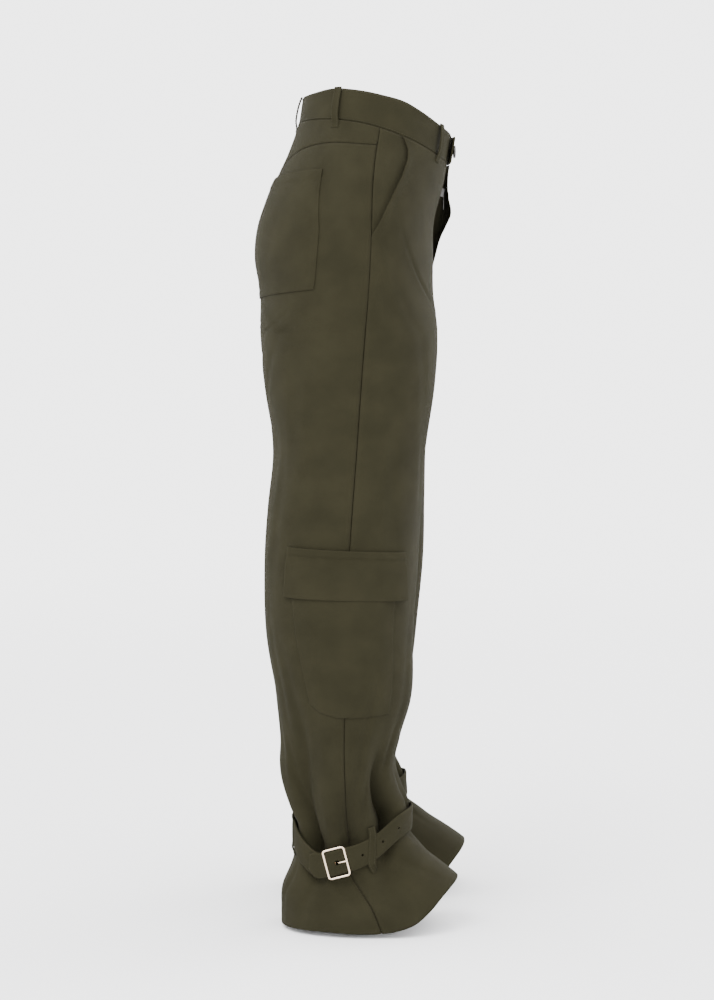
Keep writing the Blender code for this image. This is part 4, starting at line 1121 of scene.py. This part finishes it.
for name, left, around in BELT_LOOPS:
    steps = BAND_STEPS - 1
    index = round(around * steps) if left else steps + round((1.0 - around) * steps)
    run_at = band_run[TAB_STEPS + index]
    path, outwards = [], []
    for share in (0.0, 0.5):
        a = np.array([min(around, 0.9999)])
        v = np.array([WAIST_SEAM - 0.010 + share * 0.008])
        normal = leg_normals(a, v, left)[0]
        stand = SEAM_GAP + LOOP_THICKNESS / 2 + 0.4 * LOOP_STAND * share
        path.append(leg_points(a, v, left)[0] + normal * stand)
        outwards.append(normal)
    for share in (0.15, 0.35, 0.55, 0.75, 0.92, 1.0):
        arch = math.sin(math.pi * (0.25 + 0.75 * share)) ** 0.6 if share < 1 else 0.0
        face = on_band(run_at, share, 0.0)
        out = on_band(run_at, share, 1.0) - face
        stand = BAND_FACE + SEAM_GAP + LOOP_THICKNESS / 2 + LOOP_STAND * arch
        path.append(face + out * stand + np.array([0, 0, 0.0012]) * (share == 1.0))
        outwards.append(out)
    loop, rows = woven_strip(name + "_cloth", path, outwards, LOOP_WIDTH, LOOP_THICKNESS, strap_cloth)
    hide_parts(name)
    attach(loop, "trousers")
    stitching(name + "_stitches", rows, loop)

# The ankle straps.
# A strap of doubled twill, stitched along both edges, goes once round each ankle. Its loose end
# has cut corners and four punched holes, and it lies over its own start behind the buckle.
STRAP_HALF, DOUBLE, STRAP_FLAT, STRAP_CLEARANCE = 0.0165, 0.0022, 0.42, 0.0004
STRAP_START, STRAP_TIP, STRAP_CHAMFER = 0.545, 1.612, 0.008
STRAP_END = (
    (1.450, 0.0),
    (1.515, 0.0),
    (1.540, 0.0030),
    (1.640, 0.0030),
)
EYELETS = (0.527, 0.474, 0.420, 0.366)
ROUND_HOLE = ((0.0015, 0.0015), (0.0033, 0.0033))
PRONG_HOLE = ((0.0031, 0.0031), (0.0048, 0.0048))
HOLES = tuple(zip(EYELETS, (PRONG_HOLE, ROUND_HOLE, ROUND_HOLE, ROUND_HOLE)))


def on_strap(around, along, out, left):
    """Points and normals off the strap's outer face. Turns past 1 are on its second lap."""
    around, along, out = np.broadcast_arrays(around, along, out)
    turn = np.where(around <= 1.0, around, around - 1.0)
    level = STRAP_LEVEL + along
    points = leg_points(turn, level, left, False, False)
    normals = leg_normals(turn, level, left, False, False)
    stops, lifts = zip(*STRAP_END)
    lift = STRAP_CLEARANCE + DOUBLE + np.interp(around, stops, lifts) + out
    return points + normals * lift[..., None], normals


def cut_out(piece, cutters):
    """Cuts holes through a piece and keeps the result as its mesh."""
    for cutter in cutters:
        hole = piece.modifiers.new("hole", "BOOLEAN")
        hole.object = cutter
        hole.solver = "EXACT"
    whole = piece.evaluated_get(bpy.context.evaluated_depsgraph_get())
    piece.data = bpy.data.meshes.new_from_object(whole)
    piece.modifiers.clear()
    for cutter in cutters:
        bpy.data.objects.remove(cutter)


def hole_cutter(middle, across, along, out, size):
    """A round punch that stands through a piece."""
    count = 24
    turns = np.linspace(0, 2 * math.pi, count, endpoint=False)
    ring = [across * size[0] * math.cos(t) + along * size[1] * math.sin(t) for t in turns]
    form = bmesh.new()
    caps = []
    for reach in (-0.006, 0.006):
        caps.append([form.verts.new(middle + out * reach + point) for point in ring])
    for k in range(count):
        form.faces.new((caps[0][k - 1], caps[0][k], caps[1][k], caps[1][k - 1]))
    form.faces.new(caps[0])
    form.faces.new(caps[1][::-1])
    bmesh.ops.recalc_face_normals(form, faces=form.faces)
    mesh = bpy.data.meshes.new("punch")
    form.to_mesh(mesh)
    form.free()
    cutter = bpy.data.objects.new("punch", mesh)
    bpy.context.collection.objects.link(cutter)
    return cutter


def strap_axes(around, left):
    """Middle of the strap's face, and its directions along, across and outwards."""
    middle, normal = on_strap(np.array(around), 0.0, 0.0, left)
    ahead, _ = on_strap(np.array(around + 0.004), 0.0, 0.0, left)
    out = Vector(normal)
    across = Vector(ahead - middle)
    across = (across - out * across.dot(out)).normalized()
    return Vector(middle), across, out.cross(across), out


for side, left in SIDES:
    around = np.linspace(STRAP_START, STRAP_TIP, 260)[None, :]
    share = np.linspace(1.0, -1.0, 17)[:, None]
    to_tip = (STRAP_TIP - around) * STRAP_FLAT
    half = STRAP_HALF - np.maximum(STRAP_CHAMFER - to_tip, 0.0)
    rolled = -0.0005 * smoothstep((np.abs(share) - 0.86) / 0.14)
    waved = 0.0004 * np.sin(around * 43 + 3 * share) * (1.0 - np.abs(share))
    points, _ = on_strap(around, share * half, rolled + waved * (around < 1.44), left)
    flat = np.stack(np.broadcast_arrays(around * STRAP_FLAT, share * half), axis=-1)
    if left:
        points, flat = points[:, ::-1], flat[:, ::-1]
    strap = grid_object(f"ankle_strap_cloth_{side}", points, flat, DOUBLE, strap_cloth)
    punches = []
    for eyelet, (inner, _) in HOLES:
        middle, across, along, out = strap_axes(1.0 + eyelet, left)
        punches.append(hole_cutter(middle, across, along, out, inner))
    cut_out(strap, punches)
    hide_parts(f"ankle_strap_{side}")
    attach(strap, "trousers")
    line = np.linspace(STRAP_START + 0.006, STRAP_TIP - 0.022, 240)
    rows = [on_strap(line, edge, 0.0, left) for edge in (-0.0142, 0.0142)]
    stitching(f"ankle_strap_stitches_{side}", rows, strap)

# The strap carriers.
# Two narrow loops of doubled twill on each leg hold the strap in place. They are sewn to the
# leg above and below the strap.
CARRIERS, CARRIER_WIDTH, CARRIER_REACH, CARRIER_ROOM = (0.450, 0.735), 0.010, 0.030, 0.0012
for side, left in SIDES:
    for k, around in enumerate(CARRIERS):
        share = np.array((0.0, 0.07, 0.15, 0.25, 0.4, 0.6, 0.75, 0.85, 0.93, 1.0))
        level = STRAP_LEVEL + mixed(CARRIER_REACH, -CARRIER_REACH, share)
        around = np.full(share.shape, around)
        points, normals = leg_points(around, level, left), leg_normals(around, level, left)
        over = leg_points(around, level, left, False, False)
        facing = leg_normals(around, level, left, False, False)
        held = SEAM_GAP + LOOP_THICKNESS / 2 + CARRIER_ROOM
        clear = STRAP_CLEARANCE + DOUBLE + CARRIER_ROOM + LOOP_THICKNESS / 2
        arch = smoothstep((0.5 - np.abs(share - 0.5)) / 0.15)[:, None]
        path = mixed(points + normals * held, over + facing * clear, arch)
        outwards = mixed(normals, facing, arch)
        name = f"strap_carrier_{k + 1}_{side}"
        carrier, rows = woven_strip(
            name + "_cloth", path, outwards, CARRIER_WIDTH, LOOP_THICKNESS, strap_cloth
        )
        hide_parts(name)
        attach(carrier, "trousers")
        stitching(name + "_stitches", rows, carrier)

# The strap's eyelets.
# Plated brass rings line the four holes, and the first, which the prong comes up through, is
# wider. Each has a rolled face and a short barrel in the hole.


def plated(name, colour, roughness):
    """Plated metal with fine wear: cloudy roughness and hairline scratches."""
    finish = bpy.data.materials.new(name)
    finish.use_nodes = True
    tree = finish.node_tree
    metal = tree.nodes["Principled BSDF"]
    metal.inputs["Metallic"].default_value = 1.0
    where = tree.nodes.new("ShaderNodeTexCoord")
    cloud = tree.nodes.new("ShaderNodeTexNoise")
    cloud.inputs["Scale"].default_value = 240.0
    cloud.inputs["Detail"].default_value = 6.0
    tree.links.new(where.outputs["Object"], cloud.inputs["Vector"])
    dull = tree.nodes.new("ShaderNodeMapRange")
    dull.inputs["To Min"].default_value = roughness * 0.7
    dull.inputs["To Max"].default_value = roughness * 1.5
    tree.links.new(cloud.outputs["Fac"], dull.inputs["Value"])
    tree.links.new(dull.outputs["Result"], metal.inputs["Roughness"])
    tone = tree.nodes.new("ShaderNodeMix")
    tone.data_type = "RGBA"
    tone.inputs["A"].default_value = (*colour, 1)
    tone.inputs["B"].default_value = (*(c * 0.82 for c in colour), 1)
    tree.links.new(cloud.outputs["Fac"], tone.inputs["Factor"])
    tree.links.new(tone.outputs["Result"], metal.inputs["Base Color"])
    scratches = tree.nodes.new("ShaderNodeTexNoise")
    scratches.inputs["Scale"].default_value = 1400.0
    tree.links.new(where.outputs["Object"], scratches.inputs["Vector"])
    raised = tree.nodes.new("ShaderNodeBump")
    raised.inputs["Strength"].default_value = 0.12
    raised.inputs["Distance"].default_value = 0.00005
    tree.links.new(scratches.outputs["Fac"], raised.inputs["Height"])
    tree.links.new(raised.outputs["Normal"], metal.inputs["Normal"])
    return finish


champagne = plated("champagne_plate", (0.78, 0.62, 0.46), 0.26)


def solid_object(name, verts, faces, finish, smooth=True):
    """A closed mesh with its faces turned outwards."""
    form = bmesh.new()
    corners = [form.verts.new(v) for v in verts]
    for face in faces:
        form.faces.new([corners[k] for k in face])
    bmesh.ops.recalc_face_normals(form, faces=form.faces)
    mesh = bpy.data.meshes.new(name)
    form.to_mesh(mesh)
    form.free()
    mesh.polygons.foreach_set("use_smooth", [smooth] * len(mesh.polygons))
    mesh.materials.append(finish)
    solid = bpy.data.objects.new(name, mesh)
    bpy.context.collection.objects.link(solid)
    return solid


def ring_faces(rings, corners, closed):
    """Faces between rings of corners, in a loop or with both ends capped."""
    faces = []
    for k in range(rings if closed else rings - 1):
        for j in range(corners):
            here, ahead = k * corners, ((k + 1) % rings) * corners
            following = (j + 1) % corners
            faces.append((here + j, here + following, ahead + following, ahead + j))
    if not closed:
        faces.append(tuple(range(corners)))
        faces.append(tuple((rings - 1) * corners + j for j in range(corners)))
    return faces


def eyelet_ring(name, axes, size, finish):
    """A rolled ring with a barrel: its section is swept round a circle."""
    middle, across, along, out = axes
    inner, outer = size
    verts = []
    section = (
        (0.0, -0.0018), (0.0, 0.0004), (0.22, 0.0010), (0.5, 0.00125), (0.8, 0.0009),
        (1.0, 0.0003), (0.4, 0.00015), (0.06, -0.0018),
    )  # fmt: skip
    for turn in np.linspace(0, 2 * math.pi, 28, endpoint=False):
        for share, height in section:
            reach = [mixed(inner[axis], outer[axis], share) for axis in (0, 1)]
            point = across * reach[0] * math.cos(turn) + along * reach[1] * math.sin(turn)
            verts.append(middle + point + out * height)
    return solid_object(name, verts, ring_faces(28, len(section), True), finish)


for side, left in SIDES:
    for k, (eyelet, size) in enumerate(HOLES):
        axes = strap_axes(1.0 + eyelet, left)
        ring = eyelet_ring(f"eyelet_ring_{k + 1}_{side}", axes, size, champagne)
        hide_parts(f"eyelet_{k + 1}_{side}")
        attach(ring, "trousers")

# The buckles.
# A rectangular frame of plated wire with rounded corners, and a thin prong that starts under the
# strap's loose end, goes up through its first hole and over the front bar.
BUCKLE_AROUND, BUCKLE_REACH, BUCKLE_HALF_HEIGHT = 0.531, 0.026, 0.0185
BUCKLE_STANDS = (0.0050, 0.0074)
BUCKLE_CORNER, BUCKLE_WIRE, PRONG_WIRE = 0.0035, 0.0013, 0.0009


def metal_bar(name, path, reference, wide, thick, closed, finish):
    """A bar with an oval section along a path, flat side facing the reference direction."""
    path = np.asarray(path, float)
    if closed:
        along = np.roll(path, -1, axis=0) - np.roll(path, 1, axis=0)
    else:
        along = np.gradient(path, axis=0)
    along = along / np.linalg.norm(along, axis=1, keepdims=True)
    side = np.cross(along, np.array(reference))
    side = side / np.linalg.norm(side, axis=1, keepdims=True)
    up = np.cross(side, along)
    turns = np.linspace(0, 2 * math.pi, 14, endpoint=False)
    verts = []
    for k, middle in enumerate(path):
        for t in turns:
            verts.append(middle + side[k] * wide * math.cos(t) + up[k] * thick * math.sin(t))
    return solid_object(name, verts, ring_faces(len(path), len(turns), closed), finish)


for side, left in SIDES:
    bars = []
    for turn, stand in zip((-BUCKLE_REACH, BUCKLE_REACH), BUCKLE_STANDS):
        where = (np.array(BUCKLE_AROUND + turn), STRAP_LEVEL, left, False, False)
        bars.append(leg_points(*where) + leg_normals(*where) * stand)
    normal = leg_normals(np.array(BUCKLE_AROUND), STRAP_LEVEL, left, False, False)
    across = Vector(bars[1] - bars[0])
    reach = across.length / 2
    across.normalize()
    out = Vector(normal)
    out = (out - across * out.dot(across)).normalized()
    along = out.cross(across).normalized()
    middle = Vector((bars[0] + bars[1]) / 2)
    corner = BUCKLE_CORNER
    outline = []
    for sx, sz, first in ((1, 1, 0), (-1, 1, 90), (-1, -1, 180), (1, -1, 270)):
        for turn in np.radians(np.linspace(first, first + 90, 9)):
            a = sx * (reach - corner) + corner * math.cos(turn)
            b = sz * (BUCKLE_HALF_HEIGHT - corner) + corner * math.sin(turn)
            outline.append(middle + across * a + along * b)
    buckle = metal_bar(
        f"buckle_bar_{side}", outline, out, BUCKLE_WIRE, BUCKLE_WIRE * 0.85, True, champagne
    )
    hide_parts(f"buckle_frame_{side}")
    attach(buckle, "trousers")
    prong_path = (
        (0.0030, -0.0042),
        (0.0004, -0.0039),
        (-0.0010, -0.0022),
        (-0.0030, 0.0004),
        (-reach + 0.003, 0.0026),
        (-reach - 0.0014, 0.0026),
    )
    rising = smooth_line([(a, n, 0.0) for a, n in prong_path], 30)
    path = [middle + across * a + out * n for a, n, _ in rising]
    prong = metal_bar(f"buckle_pin_{side}", path, along, PRONG_WIRE, PRONG_WIRE, False, champagne)
    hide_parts(f"buckle_prong_{side}")
    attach(prong, "trousers")

# The fly.
# A shield of the same twill lies behind the front opening. In front of it is the zip's woven
# tape, whose metal teeth are closed, and the left front laps over both.
FLY_LEVELS = (1.016, 0.868)
FLY_SHIELD = (-0.021, 0.036)
ZIP_PLACES, ZIP_TOP = (-0.0120, 0.0150), 0.985
ZIP_CHAIN, ZIP_TAPE, CHAIN_HEIGHT = (0.0010, 0.0068), 0.0008, 0.0013
FLY_INNER = -TWILL - SEAM_GAP


def over_centre(signed, level):
    """Points and normals of the right front, carried on over the centre as its mirror image."""
    signed, level = np.broadcast_arrays(signed, level)
    points = leg_points(np.abs(signed), level, False)
    normals = leg_normals(np.abs(signed), level, False)
    mirror = np.where(signed > 0, -1.0, 1.0)
    points[..., 0] *= mirror
    normals[..., 0] *= mirror
    return points, normals


def fly_piece(name, places, top, offset, thickness, finish):
    """A strip behind the front opening, between two places across it."""
    signed = np.linspace(*places, 40)[None, :]
    level = np.linspace(top, FLY_LEVELS[1], 60)[:, None]
    points, normals = over_centre(signed, level)
    flat = np.stack(np.broadcast_arrays(signed * FLAT_PERIMETER, level), axis=-1)
    return grid_object(name, points + normals * offset, flat, thickness, finish)


shield = fly_piece(
    "fly_shield_cloth", FLY_SHIELD, FLY_LEVELS[0], FLY_INNER - ZIP_TAPE - SEAM_GAP, TWILL, leg_cloth
)
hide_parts("fly_shield")
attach(shield, "trousers")
tape_cloth = twill("tape_weave", (0.010, 0.0095, 0.005), (0.016, 0.015, 0.008), wear_and_highlight=0.2, bump=0.3)
tape = fly_piece("zip_tape_cloth", ZIP_PLACES, ZIP_TOP, FLY_INNER, ZIP_TAPE, tape_cloth)
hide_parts("zip_tape")
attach(tape, "trousers")

gunmetal = plated("gunmetal_plate", (0.09, 0.088, 0.085), 0.34)
TOOTH, TOOTH_PITCH = (0.00125, 0.00045, 0.0006), 0.0013  # half sizes, and from one to the next
verts, faces = [], []
half_chain = (ZIP_CHAIN[1] - ZIP_CHAIN[0]) / 2
for k, level in enumerate(np.arange(FLY_LEVELS[1] + 0.002, ZIP_TOP - 0.003, TOOTH_PITCH)):
    towards = 1 if k % 2 else -1
    place_of = sum(ZIP_CHAIN) / 2 + towards * half_chain * 0.35
    point, normal = over_centre(np.array(place_of), np.array(level))
    middle, out = Vector(point), Vector(normal)
    up = Vector((0, 0, 1))
    up = (up - out * up.dot(out)).normalized()
    wide = out.cross(up)
    middle = middle + out * (FLY_INNER + CHAIN_HEIGHT / 2)
    first = len(verts)
    for c in (-1, 1):
        for a, b in ((-1, -1), (1, -1), (1, 1), (-1, 1)):
            height = TOOTH[2] - 0.0001 * (b > 0)
            verts.append(middle + wide * a * TOOTH[0] + up * b * TOOTH[1] + out * c * height)
    for face in ((0, 3, 2, 1), (4, 5, 6, 7), (0, 1, 5, 4), (1, 2, 6, 5), (2, 3, 7, 6), (3, 0, 4, 7)):
        faces.append(tuple(first + j for j in face))
teeth = solid_object("zip_teeth", verts, faces, gunmetal, smooth=False)
teeth.parent = tape

# The zip's slider and pull.
# The slider is a die-cast channel that stands on the teeth just under the lap, and the flat pull
# hangs from a pin between its sides.
SLIDER_PLACE, SLIDER_LENGTH = (0.0039, 0.966), 0.011
SLIDER_PROFILE = (
    (-0.0040, 0.0), (0.0040, 0.0), (0.0040, 0.0018), (0.0034, 0.0050), (0.0021, 0.0050),
    (0.0021, 0.0020), (-0.0021, 0.0020), (-0.0021, 0.0050), (-0.0034, 0.0050), (-0.0040, 0.0018),
)  # fmt: skip
SLIDER_STAND, PULL_STAND, PULL_THICKNESS = 0.0005, 0.0037, 0.001
PULL_HALF = ((-0.0016, 0.0), (-0.0016, -0.0085), (-0.0028, -0.0115), (-0.0028, -0.021), (-0.0016, -0.024))


def prism(name, outline, depth, x_axis, y_axis, origin, finish, bevel):
    """An outline given depth along its third axis, with its edges rounded off."""
    z_axis = x_axis.cross(y_axis)
    verts = []
    for reach in (-depth / 2, depth / 2):
        verts += [origin + x_axis * x + y_axis * y + z_axis * reach for x, y in outline]
    count = len(outline)
    faces = [tuple(range(count)), tuple(range(2 * count - 1, count - 1, -1))]
    faces += [(k, (k + 1) % count, (k + 1) % count + count, k + count) for k in range(count)]
    solid = solid_object(name, verts, faces, finish, smooth=False)
    rounding = solid.modifiers.new("rounding", "BEVEL")
    rounding.width = bevel
    rounding.segments = 3
    rounding.limit_method = "ANGLE"
    return solid


point, normal = over_centre(np.array(SLIDER_PLACE[0]), np.array(SLIDER_PLACE[1]))
below, _ = over_centre(np.array(SLIDER_PLACE[0]), np.array(SLIDER_PLACE[1] - 0.016))
down, out = Vector(below - point).normalized(), Vector(normal)
out = (out - down * out.dot(down)).normalized()
base = Vector(point) + out * (FLY_INNER + CHAIN_HEIGHT + SLIDER_STAND)
slider = prism(
    "zip_slider_body", SLIDER_PROFILE, SLIDER_LENGTH, out.cross(down).normalized(), out, base,
    gunmetal, 0.0003,
)  # fmt: skip
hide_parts("zip_slider")
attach(slider, "trousers")

pivot = base + out * PULL_STAND - down * 0.002
outline = [*PULL_HALF, *[(-x, y) for x, y in reversed(PULL_HALF)]]
pull = prism(
    "zip_pull_tab", outline, PULL_THICKNESS, Vector((1, 0, 0)), Vector((0, 0, 1)), pivot,
    gunmetal, 0.00025,
)  # fmt: skip
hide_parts("zip_pull")
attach(pull, "pull")

# The waist button.
# A dark pressed button with a raised rim and four holes is sewn to the tab of the band, and
# thread crosses between its holes.
BUTTON_RADIUS, HOLE_STEP, HOLE_RADIUS = 0.0082, 0.0014, 0.00075
run_at = BAND_TAB * 0.3
face = on_band(run_at, 0.45, 0.0)
normal = on_band(run_at, 0.45, 1.0) - face
out = Vector(normal).normalized()
middle = Vector(face) + out * (BAND_FACE + 2 * SEAM_GAP)
up = Vector((0, 0, 1))
up = (up - out * up.dot(out)).normalized()
wide = up.cross(out)
profile = (
    (0.0, 0.0), (0.90, 0.0), (1.0, 0.0007), (1.0, 0.0022), (0.94, 0.0029), (0.86, 0.0030),
    (0.76, 0.0023), (0.5, 0.0020), (0.0, 0.0020),
)  # fmt: skip
verts, faces, count = [middle, middle + out * profile[-1][1]], [], 40
for share, height in profile[1:-1]:
    for turn in np.linspace(0, 2 * math.pi, count, endpoint=False):
        across = wide * math.cos(turn) + up * math.sin(turn)
        verts.append(middle + out * height + across * BUTTON_RADIUS * share)
rings = len(profile) - 2
for k in range(rings - 1):
    for j in range(count):
        a, b = 2 + k * count + j, 2 + k * count + (j + 1) % count
        faces.append((a, b, b + count, a + count))
for j in range(count):
    faces.append((0, 2 + j, 2 + (j + 1) % count))
    last = 2 + (rings - 1) * count
    faces.append((1, last + j, last + (j + 1) % count))
button = solid_object("waist_button_disc", verts, faces, gunmetal)
punches = []
for a, b in ((-1, -1), (1, -1), (1, 1), (-1, 1)):
    spot = middle + wide * a * HOLE_STEP + up * b * HOLE_STEP
    punches.append(hole_cutter(spot, wide, up, out, (HOLE_RADIUS, HOLE_RADIUS)))
cut_out(button, punches)
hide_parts("waist_button")
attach(button, "trousers")
verts, faces = [], []
for a, b in ((1, 1), (1, -1)):
    reach = (wide * a + up * b) * HOLE_STEP
    across = reach.cross(out).normalized()
    first = len(verts)
    for t in np.linspace(0, 1, 9):
        spot = middle + out * (0.0021 + 0.0007 * math.sin(math.pi * t)) + reach * (2 * t - 1)
        for turn in np.linspace(0, 2 * math.pi, 8, endpoint=False):
            verts.append(spot + (across * math.cos(turn) + out * math.sin(turn)) * 0.0005)
    faces += [tuple(first + j for j in face) for face in ring_faces(9, 8, False)]
thread = solid_object("waist_button_thread", verts, faces, thread_finish)
thread.parent = button

# The seam allowances.
# Inside each long seam the cut edges of both panels are turned back and pressed open, so the
# seam shows no daylight.
ALLOWANCE = 0.016


def allowance(name, halves, top, foot):
    """A strip inside a seam, from places on one side of it to places on the other."""
    level = np.linspace(top, foot, max(int((top - foot) / 0.006), 8))[:, None]
    columns = []
    for first, last, left in halves:
        around = np.linspace(first, last, 5)[None, :]
        points = leg_points(around, level, left)
        normals = leg_normals(around, level, left)
        columns.append(points + normals * (-TWILL - 0.0005))
    points = np.concatenate(columns, axis=1)
    across = np.linspace(0, 2 * ALLOWANCE, points.shape[1])[None, :]
    flat = np.stack(np.broadcast_arrays(across, level), axis=-1)
    strip = grid_object(name, points, flat, 0.0, leg_cloth)
    wall = strip.modifiers.new("wall", "SOLIDIFY")
    wall.thickness = 0.0008
    wall.offset = 0.0
    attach(strip, "trousers")


wide = ALLOWANCE / FLAT_PERIMETER
for side, left in SIDES:
    halves = ((0.5 - wide, 0.5, left), (0.5, 0.5 + wide, left))
    allowance(f"side_allowance_{side}", halves, 1.018, 0.002)
    halves = ((1 - wide, 1.0, left), (0.0, wide, left))
    allowance(f"inseam_allowance_{side}", halves, CROTCH - 0.004, 0.002)
halves = ((1 - wide, 1.0, False), (1.0, 1 - wide, True))
allowance("back_rise_allowance", halves, 1.016, CROTCH + 0.004)
halves = ((wide, 0.0, False), (0.0, wide, True))
allowance("front_rise_allowance", halves, 0.860, CROTCH + 0.004)
